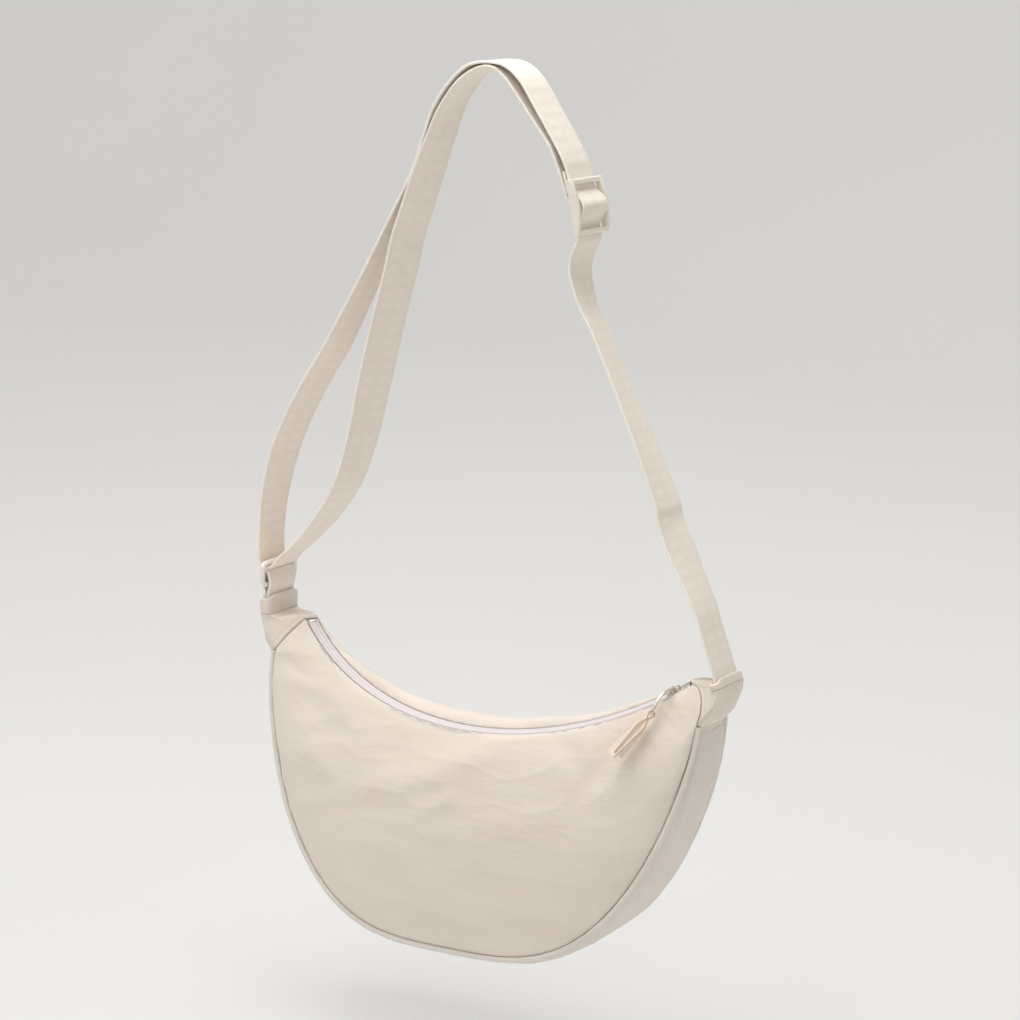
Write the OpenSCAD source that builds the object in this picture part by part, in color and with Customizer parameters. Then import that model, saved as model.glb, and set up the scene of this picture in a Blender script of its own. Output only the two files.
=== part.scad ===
// Shoulder bag: a half-moon body of nylon with a curved zip, hung from one
// length of webbing that runs through an adjuster and a ring.
// X runs from horn to horn, Y from the front to the back, Z up.
// The origin is the hang point, on the underside of the strap's crest.

/* [Body] */
// Width of the front panel, from seam to seam at its top
body_w = 288; // [270:2:306]
// Height of the panels, from the top of the seams to the bottom
body_h = 146; // [134:2:158]
// Depth of the bag at the bottom, over the two seams
body_d = 82; // [74:2:90]
// How far the bottom of the bag stands forward of the horns
body_forward = 8; // [5:1:11]
// Depth of the bag at the top of the seams
top_d = 30; // [28:1:34]
// Distance from the horn mouths down to the top of the seams
seam_drop = 28; // [26:1:32]
// How far the panels swell in front of the seams
swell = 17; // [12:1:22]
// How far the gusset swells out between its seams
gusset_swell = 6.5; // [4:0.5:8]
// Thickness of the padded outer cloth
cloth_t = 1.2; // [1:0.1:1.5]
// Thickness of the lining cloth
lining_t = 0.6; // [0.5:0.1:0.8]
// Thickness of the piping along the seams
piping_d = 3.2; // [2.6:0.2:3.8]

/* [Zip] */
// Distance between the two ends of the zip
zip_span = 258; // [242:2:266]
// Distance that the zip lies to the right of the middle
zip_shift = 2; // [0:0.5:3]
// Sag of the zip between its ends, along its own sloping plane
zip_sag = 50; // [44:1:56]
// Slope of the zip's plane to the front, from upright
zip_slope = 42; // [34:1:48]
// Width of tape that shows between the panels
zip_show = 8; // [7:0.5:9]
// Thickness of the tape
tape_t = 0.5; // [0.4:0.05:0.6]
// Spacing of the coil's turns
coil_pitch = 3; // [2.8:0.1:4]
// Thickness of the coil's wire
coil_wire = 1.1; // [0.9:0.05:1.2]
// Length of the slider
slider_l = 11; // [10:0.5:12]

/* [Puller] */
// Thickness of the puller's wire
wire_d = 1.4; // [1.2:0.1:1.5]
// Length of the puller's wire loop
wire_l = 19; // [18:0.5:20]
// Length of the ribbon
ribbon_l = 31; // [28:1:34]
// Width of the ribbon
ribbon_w = 7; // [6:0.5:7.5]
// Thickness of the ribbon
ribbon_t = 0.7; // [0.6:0.05:0.8]

/* [Strap] */
// Width of the webbing
web_w = 25; // [24:0.5:26]
// Thickness of the webbing
web_t = 1.6; // [1.4:0.1:1.8]
// Height of the strap's crest over the horn mouths
strap_rise = 318; // [300:2:336]
// Distance between the horn mouths
horn_span = 302; // [294:2:310]

/* [Ring and adjuster] */
// Thickness of the ring's bar
ring_bar = 3; // [2.6:0.1:3.4]
// Height of the ring outside
ring_h = 16; // [15:0.5:18]
// Length of the adjuster
adj_l = 30.4; // [29:0.2:33]
// Width of the adjuster's end bars
adj_bar_w = 3; // [2.6:0.1:3.4]
// Thickness of the adjuster's end bars
adj_bar_t = 2.6; // [2.2:0.1:3]
// Thickness of the adjuster's middle bar
adj_mid_d = 3; // [2.6:0.1:3.2]

/* [Hidden] */

// Clearances: between moving pieces, and between sewn pieces
run_gap = 0.3;
sewn_gap = 0.3;

// Colours of the cloth, webbing, tape and metal
cream = "#e2d8cc";
cream_dark = "#d3c8ba";
web_cream = "#efe7db";
tape_grey = "#d8d0ce";
metal = "#cfc8bd";

// Strap's crest, as a share of half the horn span to the right of the middle
crest_share = 0.046;
crest_x = crest_share * horn_span / 2;

// Every module below works from the middle of the line between the horn mouths
module from_hang_point() {
  translate([-crest_x, 0, -strap_rise]) children();
}

function reverse(list) = [for (i = [len(list) - 1 : -1 : 0]) list[i]];
function mix(a, b, t) = a + (b - a) * t;
function unit(v) = v / norm(v);
function square_off(x, power) = (x < 0 ? -1 : 1) * pow(abs(x), power);

// Smooth curve through points: a Catmull-Rom spline with steps on each span
function spline_point(a, b, c, d, t) =
  0.5 * (2 * b + (c - a) * t + (2 * a - 5 * b + 4 * c - d) * t * t
    + (3 * b - a - 3 * c + d) * t * t * t);
function spline(points, steps) =
  let (n = len(points), ends = concat([2 * points[0] - points[1]], points,
    [2 * points[n - 1] - points[n - 2]]))
  concat([for (i = [1 : n - 1], k = [0 : steps - 1])
    spline_point(ends[i - 1], ends[i], ends[i + 1], ends[i + 2], k / steps)], [points[n - 1]]);

// Outline of a strip of webbing, half its thickness to each side of a path
function side_step(path, i) =
  let (a = path[max(i - 1, 0)], b = path[min(i + 1, len(path) - 1)], d = unit(b - a)) [-d[1], d[0]];
function strip(path, t) = concat(
  [for (i = [0 : len(path) - 1]) path[i] + side_step(path, i) * t / 2],
  reverse([for (i = [0 : len(path) - 1]) path[i] - side_step(path, i) * t / 2]));

// Webbing that stands on edge along Y, over a path in X and Z
module webbing(path, w = web_w, t = web_t) {
  rotate([90, 0, 0]) linear_extrude(w, center = true) polygon(strip(path, t));
}

// Closed skin over a grid of points: rows of equal length, first and last row capped
module tube_skin(rows) {
  n = len(rows[0]);
  m = len(rows);
  points = [for (row = rows) for (p = row) p];
  walls = [for (i = [0 : m - 2], k = [0 : n - 1])
    let (a = i * n + k, b = i * n + (k + 1) % n) [[a, b, b + n], [a, b + n, a + n]]];
  polyhedron(points, concat([for (w = walls) for (f = w) f],
    [reverse([for (k = [0 : n - 1]) k])], [[for (k = [0 : n - 1]) (m - 1) * n + k]]), convexity = 6);
}

// Thin shell between an outer grid of points and the same grid set in by t
function grid_normal(g, i, k) =
  let (a = g[min(i + 1, len(g) - 1)][k] - g[max(i - 1, 0)][k],
    b = g[i][min(k + 1, len(g[0]) - 1)] - g[i][max(k - 1, 0)]) unit(cross(a, b));
function set_in(g, depth, turn) = [for (i = [0 : len(g) - 1])
  [for (k = [0 : len(g[0]) - 1]) g[i][k] - grid_normal(g, i, k) * depth * turn]];
module shell(g, from_depth, t, turn) {
  outer = set_in(g, from_depth, turn);
  inner = set_in(g, from_depth + t, turn);
  rows = [for (i = [0 : len(g) - 1]) concat(outer[i], reverse(inner[i]))];
  tube_skin(turn > 0 ? rows : reverse(rows));
}

// Seams: angle a runs from -90 at the left horn to 90 at the right horn
seam_square = 3.175;
seam_full = 0.69;
depth_full = 0.8;
function arch(a) = max(1 - pow(abs(sin(a)), seam_square), 0);
function seam_x(a) = body_w / 2 * sin(a);
function seam_z(a) = -seam_drop - body_h * pow(arch(a), seam_full);
function seam_y(a) = (top_d + (body_d - top_d) * pow(arch(a), depth_full)) / 2;
seam_probe = 0.5;
function seam_out(a) =
  let (p = max(a - seam_probe, -90), q = min(a + seam_probe, 90),
    d = unit([seam_x(q) - seam_x(p), seam_z(q) - seam_z(p)])) [d[1], -d[0]];
function middle_y(a) = -body_forward * pow(arch(a), depth_full);
function seam_point(a, side, out = 0) = let (o = seam_out(a))
  [seam_x(a) + o[0] * out, middle_y(a) + side * seam_y(a), seam_z(a) + o[1] * out];
function seam_angles(limit, n) = [for (i = [-n : n]) limit * i / n];

// Zip: an arc about an axis square to its sloping plane, with the tape turned to lie level
zip_drop = 10;
tape_rise = 8;
zip_r = (pow(zip_span / 2, 2) + zip_sag * zip_sag) / (2 * zip_sag);
zip_half = asin(zip_span / 2 / zip_r);
tape_turn = zip_slope + tape_rise;
zip_low = [zip_shift, -zip_sag * sin(zip_slope), -zip_drop - zip_sag * cos(zip_slope)];
zip_mid = zip_low + zip_r * [0, sin(zip_slope), cos(zip_slope)];
function zip_angle(a) = asin(sin(zip_half) * sin(a));
// Point of the zip's surface: front is the distance forward of the middle, up stands off it
function zip_point(phi, front, up) =
  let (out = [sin(phi), -sin(zip_slope) * cos(phi), -cos(zip_slope) * cos(phi)],
    axis = [0, -cos(zip_slope), sin(zip_slope)],
    r = zip_r + front * sin(tape_turn) - up * cos(tape_turn),
    z = front * cos(tape_turn) + up * sin(tape_turn)) zip_mid + out * r + axis * z;
function zip_section(front, up) =
  [zip_r + front * sin(tape_turn) - up * cos(tape_turn), front * cos(tape_turn) + up * sin(tape_turn)];
module zip_frame() {
  translate(zip_mid) rotate([90 - zip_slope, 0, 0]) rotate([0, 0, -90]) children();
}
module on_zip(phi) {
  zip_frame() rotate([0, 0, phi]) translate([zip_r, 0, 0]) rotate([0, tape_turn - 90, 0]) children();
}

// Panels: each line from zip to seam is a cubic curve
// Reach of the curve's handles at the zip and at the seam, as shares of the swell and height
front_top_shares = [0.55, -0.02];
front_low_shares = [1.25, 0.45];
back_top_shares = [0.8, 0.185];
back_low_shares = [0.91, 0.47];
end_share = 0.16;
end_rise_share = 0.03;
panel_lift = 0.6;
function handle(a, side, shares) = [0, side * shares[0] * swell * mix(end_share, 1, cos(a)),
  shares[1] * body_h * mix(end_rise_share, 1, cos(a))];
function panel_point(a, v, side) =
  let (phi = zip_angle(a),
    p0 = zip_point(phi, -side * zip_show / 2, cloth_t + panel_lift),
    p3 = seam_point(a, side, -piping_d / 2 - sewn_gap),
    top = side < 0 ? front_top_shares : back_top_shares,
    low = side < 0 ? front_low_shares : back_low_shares,
    p1 = p0 + handle(a, side, top),
    p2 = p3 + handle(a, side, low))
  p0 * pow(1 - v, 3) + 3 * p1 * v * pow(1 - v, 2) + 3 * p2 * v * v * (1 - v) + p3 * pow(v, 3);
panel_cols = 14;
panel_rows = 9;
module panel(side, depth, t, limit, v_from, v_to) {
  g = [for (a = seam_angles(limit, panel_cols))
    [for (k = [0 : panel_rows]) panel_point(a, mix(v_from, v_to, k / panel_rows), side)]];
  shell(g, depth, t, side);
}

panel_angle = 89.5;
module front_panel() {
  color(cream) panel(-1, 0, cloth_t, panel_angle, 0, 1);
}
module back_panel() {
  color(cream) panel(1, 0, cloth_t, panel_angle, 0, 1);
}

// Linings stay this far behind the cloth, and clear of the seams and the zip
lining_back = 0.8;
lining_angle = 84;
lining_from_shares = [0.14, 0.35];
lining_to_share = 0.96;
module front_lining() {
  color(cream_dark) panel(-1, cloth_t + lining_back, lining_t, lining_angle,
    lining_from_shares[0], lining_to_share);
}
module back_lining() {
  color(cream_dark) panel(1, cloth_t + lining_back, lining_t, lining_angle,
    lining_from_shares[1], lining_to_share);
}
pocket_angle = 24;
pocket_back = 0.7;
pocket_from_share = 0.42;
pocket_to_share = 0.8;
module slip_pocket() {
  depth = cloth_t + lining_back + lining_t + pocket_back;
  color(cream_dark) panel(1, depth, lining_t, pocket_angle, pocket_from_share, pocket_to_share);
}

// Gusset: a strip round the seams that swells out between them
gusset_rows = 8;
swell_square = 3;
end_swell_share = 0.3;
patch_angle = 81;
function gusset_point(a, v) =
  let (half = seam_y(a) - piping_d / 2 - sewn_gap, o = seam_out(a),
    b = gusset_swell * (1 - pow(abs(v), swell_square)) * mix(end_swell_share, 1, arch(a)))
  [seam_x(a) + o[0] * b, middle_y(a) + v * half, seam_z(a) + o[1] * b];
module gusset_strip(a_from, a_to, cols, depth, t) {
  g = [for (i = [0 : cols]) [for (k = [0 : gusset_rows])
    gusset_point(mix(a_from, a_to, i / cols), 2 * k / gusset_rows - 1)]];
  shell(g, depth, t, -1);
}
patch_gap = 0.3;
module gusset() {
  color(cream_dark) gusset_strip(patch_gap - patch_angle, patch_angle - patch_gap, 34, 0, cloth_t);
}
module left_gusset_patch() {
  color(cream) gusset_strip(-90, -patch_angle, 4, 0, cloth_t);
}
module right_gusset_patch() {
  color(cream) gusset_strip(patch_angle, 90, 4, 0, cloth_t);
}
module gusset_lining() {
  color(cream_dark)
    gusset_strip(-lining_angle, lining_angle, 30, cloth_t + lining_back, lining_t);
}

// Piping: a round cord along each seam
piping_sides = 6;
module piping(side) {
  rows = [for (a = seam_angles(90, 30))
    let (c = seam_point(a, side), o = seam_out(a))
    [for (k = [0 : piping_sides - 1]) let (u = 360 * k / piping_sides)
      c + piping_d / 2 * (cos(u) * [o[0], 0, o[1]] - sin(u) * [0, 1, 0])]];
  tube_skin(rows);
}
module front_piping() {
  color(cream) piping(-1);
}
module back_piping() {
  color(cream) piping(1);
}

// Horn caps: lofted corners of cloth, from the patch seam up to the sleeve's mouth
cap_points = 16;
cap_steps = 5;
cap_start = 1.2;
cap_bulge = 1;
cap_square = [0.32, 0.6];
cap_zip_w = 2;
cap_widen = 0.6;
cap_top_drop = 7;
cap_top_t = 7.6;
cap_top_w = web_w + 4.6;
mouth_x = horn_span / 2;
// Lean of the strap into the bag's middle, where it leaves the right and the left horn
right_lean = 20;
left_lean = 0;
module horn_cap(side, lean) {
  seam_end = [body_w / 2, 0, -seam_drop];
  zip_end = [zip_span / 2 + side * zip_shift, 0, -zip_drop];
  slope = unit(seam_end - zip_end);
  square_to = [-slope[2], 0, slope[0]];
  start = (seam_end + zip_end) / 2 + square_to * cap_start;
  top = [mouth_x, 0, 0] - cap_top_drop * [-sin(lean), 0, cos(lean)];
  top_along = [cos(lean), 0, sin(lean)];
  rows = [for (i = [0 : cap_steps])
    let (t = i / cap_steps, s = t * t * (3 - 2 * t),
      c = mix(start, top, t) + square_to * cap_bulge * sin(180 * t),
      along = unit(mix(slope, top_along, s)),
      h = mix(norm(seam_end - zip_end) / 2, cap_top_t / 2, s),
      w_zip = mix(cap_zip_w / 2, cap_top_w / 2, s),
      w_seam = mix(top_d / 2, cap_top_w / 2, s),
      square = mix(cap_square[0], cap_square[1], s))
    [for (k = [0 : cap_points - 1])
      let (u = 360 * k / cap_points, p = square_off(cos(u), square), q = square_off(sin(u), square))
      c + along * h * p + [0, mix(w_zip, w_seam, pow((1 + p) / 2, cap_widen)) * q, 0]]];
  mirror([side < 0 ? 1 : 0, 0, 0]) tube_skin(reverse(rows));
}
module left_horn_cap() {
  color(cream) horn_cap(-1, left_lean);
}
module right_horn_cap() {
  color(cream) horn_cap(1, right_lean);
}

// Frame at a horn's mouth: Z runs along the strap as it leaves
module at_mouth(side, lean) {
  translate([side * mouth_x, 0, 0]) rotate([0, -side * lean, 0]) children();
}

// Sleeves: folded bands of cloth that hold the webbing at each mouth
sleeve_h = 11;
sleeve_side = 1.6;
sleeve_fold = 1.6;
sleeve_round = 1.4;
module sleeve() {
  wall_w = web_w / 2 + sewn_gap;
  slot_t = web_t + sewn_gap;
  half_t = slot_t + sleeve_fold;
  outer = [for (c = [[1, 1], [-1, 1], [-1, -1], [1, -1]], u = [0 : 30 : 90])
    let (turn = atan2(c[1], c[0]) - 45 + u)
    [c[0] * (half_t - sleeve_round) + sleeve_round * cos(turn),
      c[1] * (wall_w + sleeve_side - sleeve_round) + sleeve_round * sin(turn)]];
  translate([0, 0, sewn_gap - cap_top_drop]) linear_extrude(sleeve_h) difference() {
    polygon(outer);
    square([2 * slot_t, 2 * wall_w], center = true);
  }
}
module left_sleeve() {
  color(cream) at_mouth(-1, left_lean) sleeve();
}
module right_sleeve() {
  color(cream) at_mouth(1, right_lean) sleeve();
}

// Ring: a rounded rectangle of round bar, its lower bar in the tab's loop
ring_w = web_w + 3;
ring_corner = 3.6;
ring_drop = 9;
ring_x = -mouth_x;
ring_low_z = ring_drop + ring_bar / 2;
ring_top_z = ring_drop + ring_h - ring_bar / 2;
module ring() {
  run_y = ring_w / 2 + ring_bar / 2 - ring_corner;
  run_z = (ring_top_z - ring_low_z) / 2 - ring_corner;
  color(web_cream) translate([ring_x, 0, (ring_low_z + ring_top_z) / 2]) rotate([90, 0, 90]) {
    for (s = [-1, 1]) {
      translate([-run_y, s * (run_z + ring_corner), 0])
        rotate([0, 90, 0]) cylinder(d = ring_bar, h = 2 * run_y, $fn = 24);
      translate([s * (run_y + ring_corner), run_z, 0])
        rotate([90, 0, 0]) cylinder(d = ring_bar, h = 2 * run_z, $fn = 24);
    }
    for (c = [[1, 1, 0], [-1, 1, 90], [-1, -1, 180], [1, -1, 270]])
      translate([c[0] * run_y, c[1] * run_z, 0]) rotate([0, 0, c[2]])
        rotate_extrude(angle = 90, $fn = 48) translate([ring_corner, 0])
          circle(d = ring_bar, $fn = 24);
  }
}

// Tab: webbing round the ring's lower bar, its two layers closed in the sleeve
tab_r = ring_bar / 2 + 1.4 * run_gap + web_t / 2;
module tab_webbing() {
  layer = web_t / 2 + sewn_gap / 2.4;
  foot = sewn_gap - cap_top_drop;
  mouth = sleeve_h - cap_top_drop + sewn_gap;
  neck = [mix(layer, tab_r, 0.42), mix(mouth, ring_low_z, 0.5)];
  over = [for (u = [-10 : 20 : 190]) [tab_r * cos(u), ring_low_z + tab_r * sin(u)]];
  path = concat([[layer, foot], [layer, mouth / 4], [layer + sewn_gap / 4, mouth], neck], over,
    [[-neck[0], neck[1]], [-layer - sewn_gap / 4, mouth], [-layer, mouth / 4], [-layer, foot]]);
  color(web_cream) translate([ring_x, 0, 0]) webbing(spline(path, 2));
}

// Swivel: the strap and its sewn end meet in a round edge about the line that the bag swings on
swivel_z = ring_top_z - ring_bar / 2 - run_gap;
swivel_gap = 0.5;
swivel_far = 40;
module swivel_disc(side, r) {
  translate([side * mouth_x, 0, swivel_z]) rotate([0, 90, 0])
    cylinder(r = r, h = swivel_far, center = true);
}
module swivel_side(side, up) {
  translate([side * mouth_x, 0, swivel_z + up * swivel_far / 2])
    cube([swivel_far, swivel_far, swivel_far], center = true);
}
// Strap's first stretch: out of the right sleeve, leaning as its mouth does
function lean_point(d) = [mouth_x - d * sin(right_lean), d * cos(right_lean)];
module strap_horn_end() {
  color(web_cream) difference() {
    webbing([lean_point(sewn_gap - cap_top_drop), lean_point(swivel_z / cos(right_lean))]);
    swivel_disc(1, web_w / 2 + swivel_gap);
    swivel_side(1, 1);
  }
}

// Routes of the strap: X as shares of half the horn span, Z as shares of the crest's height
function route(shares) = [for (p = shares) [p[0] * mouth_x, p[1] * strap_rise]];
lower_shares = [[0.832, 0.188], [0.773, 0.25], [0.763, 0.275], [0.7, 0.343], [0.64, 0.402],
  [0.56, 0.48], [0.476, 0.562]];
feed_low_shares = [[0.476, 0.562], [0.428, 0.6], [0.4, 0.637], [0.39, 0.665], [0.401, 0.692]];
feed_top_share = [0.236, 0.945];
outer_shares = [[0.182, 0.981], [0.12, 1.0035], [0.046, 1.0095], [-0.04, 1.003], [-0.12, 0.974],
  [-0.194, 0.93], [-0.245, 0.88], [-0.305, 0.82], [-0.373, 0.76], [-0.442, 0.7], [-0.517, 0.635],
  [-0.609, 0.56], [-0.703, 0.485], [-0.8, 0.42], [-0.89, 0.35], [-0.965, 0.275], [-1.015, 0.19]];
inner_shares = [[-0.83, 0.132], [-0.742, 0.178], [-0.648, 0.245], [-0.58, 0.33], [-0.535, 0.41],
  [-0.5, 0.47], [-0.455, 0.545], [-0.4, 0.63], [-0.36, 0.7], [-0.315, 0.755], [-0.262, 0.82],
  [-0.208, 0.88], [-0.165, 0.925], [-0.1, 0.968], [-0.03, 0.993], [0.046, 1.0025], [0.098, 0.985],
  [0.148, 0.95]];
spline_steps = 3;

// Fold round the ring's top bar, with room for the bar to move as the ring tilts
fold_room = 2.6;
fold_half = ring_bar / 2 + run_gap + web_t / 2 + fold_room;
fold_slack = 0.6;
fold_low = -(ring_bar / 2 + fold_slack + web_t / 2);
fold_top = 14;
fold_out = 17;
fold_rise = 10.5;
outer_end = [ring_x - fold_half, ring_top_z + fold_top];
inner_end = [ring_x + fold_out, ring_top_z + fold_rise];
fold_path = [outer_end, [ring_x - fold_half, ring_top_z + fold_top / 2],
  [ring_x - fold_half, ring_top_z], [ring_x - fold_half * 0.72, ring_top_z + fold_low * 0.72],
  [ring_x - fold_half / 3, ring_top_z + fold_low], [ring_x + fold_half / 3, ring_top_z + fold_low],
  [ring_x + fold_half * 0.8, ring_top_z + fold_low * 0.6],
  [ring_x + fold_out / 2, ring_top_z + fold_rise / 3], inner_end];
module strap_ring_fold() {
  color(web_cream) intersection() {
    webbing(spline(fold_path, 4));
    swivel_disc(-1, web_w / 2);
  }
}

// Adjuster: its own frame stands at its middle, X outwards and Z along the strap
adj_place_shares = [0.427, 0.774];
adj_centre = [adj_place_shares[0] * mouth_x, adj_place_shares[1] * strap_rise];
adj_lean = 10;
adj_mid_x = -0.8;
adj_bar_x = -0.9;
function from_adjuster(p) = adj_centre
  + [p[0] * cos(adj_lean) - p[1] * sin(adj_lean), p[0] * sin(adj_lean) + p[1] * cos(adj_lean)];
function all_from_adjuster(path) = [for (p = path) from_adjuster(p)];
module at_adjuster() {
  translate([adj_centre[0], 0, adj_centre[1]]) rotate([0, -adj_lean, 0]) children();
}

// Webbing that goes under both end bars and over the middle bar, with the sewn end between
weave_in = adj_bar_x - adj_bar_t / 2 - run_gap - web_t / 2;
sewn_r = adj_mid_d / 2 + run_gap / 2 + web_t / 2;
weave_out = adj_mid_x + sewn_r + web_t + run_gap;
weave_half = adj_l / 2 - adj_bar_w;
weave_past = 2.3;
weave_end = adj_l / 2 + weave_past;
function weave_x(q) = abs(q) > weave_half ? weave_in
  : mix(weave_in, weave_out, pow(cos(90 * q / weave_half), 2));
weave_path = concat([[weave_in, -weave_end]], [for (i = [-8 : 8]) let (q = weave_half * i / 8)
  [weave_x(q), q]], [[weave_in, weave_end]]);
module strap_weave() {
  color(web_cream) webbing(all_from_adjuster(weave_path));
}

// Sewn end of the inner layer: down the inside, round the middle bar, and back up beside itself
sewn_tail = 20;
sewn_run = 34;
tail_x = weave_in - web_t - run_gap;
main_x = tail_x - web_t - sewn_gap / 2;
sewn_lean = 5;
sewn_from = sewn_run / 3;
function main_point(q) =
  [main_x - sewn_lean * pow(max(q - sewn_from, 0) / (sewn_run - sewn_from), 1.2), q];
sewn_path = concat(
  [main_point(sewn_run), main_point(mix(sewn_tail, sewn_run, 0.5)), main_point(sewn_tail),
    main_point(sewn_from)],
  [[main_x + 0.6 * web_t, sewn_run / 6]],
  [for (u = [210 : 30 : 450]) [adj_mid_x + sewn_r * cos(u), sewn_r * sin(u)]],
  [[mix(adj_mid_x, tail_x, 0.5), 1.8 * sewn_r], [tail_x + web_t / 4, sewn_run / 3.4],
    [tail_x, sewn_run / 2.4], [tail_x - web_t / 3, sewn_tail]]);
module strap_sewn_end() {
  color(web_cream) webbing(all_from_adjuster(spline(sewn_path, 2)));
}

// Frame of the adjuster: two side rails that bow outwards, two end bars and a middle bar
rail_w = 2.7;
rail_bow = 2.4;
rail_y = web_w / 2 + 0.8;
rail_steps = 10;
bar_round = 0.9;
module rounded_bar(w, t, r) {
  corners = [for (c = [[1, 1, 0], [-1, 1, 90], [-1, -1, 180], [1, -1, 270]], u = [0 : 30 : 90])
    [c[0] * (t / 2 - r) + r * cos(c[2] + u), c[1] * (w / 2 - r) + r * sin(c[2] + u)]];
  rotate([90, 0, 0]) linear_extrude(2 * (rail_y + rail_w / 2), center = true) polygon(corners);
}
module side_rail() {
  outer = [for (i = [-rail_steps : rail_steps]) let (q = i / rail_steps)
    [adj_bar_x + adj_bar_t / 2 + rail_bow * (1 - q * q), q * adj_l / 2]];
  inner = [for (i = [-rail_steps : rail_steps]) let (q = i / rail_steps)
    [adj_bar_x - adj_bar_t / 2 - rail_bow / 4 * (1 - q * q), q * adj_l / 2]];
  rotate([90, 0, 0]) linear_extrude(rail_w) polygon(concat(outer, reverse(inner)));
}
module strap_adjuster() {
  color(web_cream) at_adjuster() {
    translate([0, -rail_y, 0]) side_rail();
    translate([0, rail_y + rail_w, 0]) side_rail();
    for (s = [-1, 1])
      translate([adj_bar_x, 0, s * (adj_l - adj_bar_w) / 2])
        rounded_bar(adj_bar_w, adj_bar_t, bar_round);
    translate([adj_mid_x, 0, 0]) rotate([90, 0, 0])
      cylinder(d = adj_mid_d, h = 2 * (rail_y + rail_w / 2), center = true, $fn = 32);
  }
}

// Short feeds of webbing that give way as the adjuster slides
feed_gap = 0.5;
feed_turn_in = 3;
feed_turn_up = 12;
function trim(path, gap) = let (n = len(path) - 1) concat([path[0] + gap * unit(path[1] - path[0])],
  [for (i = [1 : n - 1]) path[i]], [path[n] - gap * unit(path[n] - path[n - 1])]);
weave_top = from_adjuster([weave_in, weave_end]);
weave_foot = from_adjuster([weave_in, -weave_end]);
sewn_top = from_adjuster(main_point(sewn_run));
outer_feed_end = route([feed_top_share])[0];
module strap_outer_feed() {
  turn = from_adjuster([weave_in - feed_turn_in, weave_end + feed_turn_up]);
  path = spline([weave_top, turn, outer_feed_end], 4);
  color(web_cream) webbing(trim(path, feed_gap));
}
inner_feed_end = route(inner_shares)[len(inner_shares) - 1];
module strap_inner_feed() {
  path = spline([inner_feed_end, mix(inner_feed_end, sewn_top, 0.5), sewn_top], 4);
  color(web_cream) webbing(trim(path, feed_gap));
}
module strap_lower_feed() {
  color(web_cream) webbing(trim(spline(concat(route(feed_low_shares), [weave_foot]), 4), feed_gap));
}
module strap_outer_layer() {
  path = concat([outer_feed_end], route(outer_shares), [outer_end, fold_path[2]]);
  color(web_cream) difference() {
    webbing(spline(path, spline_steps));
    swivel_disc(-1, web_w / 2 + swivel_gap);
    swivel_side(-1, -1);
  }
}
module strap_inner_layer() {
  low = len(fold_path) - 2;
  path = concat([fold_path[low - 1], fold_path[low], inner_end], route(inner_shares));
  color(web_cream) difference() {
    webbing(spline(path, spline_steps));
    swivel_disc(-1, web_w / 2 + swivel_gap);
    swivel_side(-1, -1);
  }
}
module strap_lower_run() {
  swivel_at = swivel_z / cos(right_lean);
  path = spline(concat([lean_point(swivel_at - web_w), lean_point(swivel_at), lean_point(1.5 * web_w)],
    route(lower_shares)), 4);
  color(web_cream) intersection() {
    webbing(path);
    union() {
      swivel_disc(1, web_w / 2);
      translate([0, 0, swivel_z + strap_rise / 2])
        cube([horn_span * 2, 2 * web_w, strap_rise], center = true);
    }
  }
}

// Zip tapes: conical strips on the zip's arc, each with its inner edge at the middle
tape_mid = 0.5;
tape_under = 0.5;
tape_end = 0.2;
module zip_sweep(from_phi, to_phi) {
  zip_frame() rotate([0, 0, from_phi]) rotate_extrude(angle = to_phi - from_phi, $fn = 360) children();
}
module zip_tape(side) {
  zip_sweep(tape_end - zip_half, zip_half - tape_end)
    polygon([for (p = [[tape_mid, 0], [zip_show / 2 + tape_under, 0],
      [zip_show / 2 + tape_under, -tape_t], [tape_mid, -tape_t]]) zip_section(side * p[0], p[1])]);
}
module zip_tape_front() {
  color(tape_grey) zip_tape(1);
}
module zip_tape_back() {
  color(tape_grey) zip_tape(-1);
}

// Coil: turns of wire under the tapes that mesh across the middle, and part before the slider
coil_reach = 0.5;
coil_l = 2.4;
coil_gap = 0.15;
stop_w = 2.4;
stop_in = 2;
function turn_of(l) = l / zip_r * 180 / PI;
stop_phi = zip_half - turn_of(stop_in);
park_phi = stop_phi - turn_of(stop_w / 2 + run_gap + slider_l / 2);
neck_w = 0.4;
neck_l = 2.2;
neck_at = 2.6;
part_phi = park_phi + turn_of(neck_at - coil_wire);
coil_step = turn_of(coil_pitch);
coil_first = coil_step - stop_phi;
coil_count = floor((stop_phi - coil_step - coil_first) / coil_step);
module zip_coil(side) {
  for (i = [0 : coil_count]) {
    phi = coil_first + (i + (side > 0 ? 0 : 0.5)) * coil_step;
    from = phi > part_phi ? neck_w + 2 * coil_gap : -coil_reach;
    on_zip(phi) translate([side * (from + coil_l / 2), 0, -tape_t - coil_gap - coil_wire / 2])
      rotate([0, 90, 0]) cylinder(d = coil_wire, h = coil_l, center = true, $fn = 16);
  }
}
module zip_coil_front() {
  color(tape_grey) zip_coil(1);
}
module zip_coil_back() {
  color(tape_grey) zip_coil(-1);
}
stop_t = 0.8;
stop_show_share = 0.6;
module zip_stop(phi) {
  on_zip(phi) translate([0, 0, stop_t / 2 + coil_gap])
    cube([zip_show * stop_show_share, stop_w, stop_t], center = true);
}
module zip_top_stop() {
  color(metal) zip_stop(stop_phi);
}
module zip_bottom_stop() {
  color(metal) zip_stop(-stop_phi);
}

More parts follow.
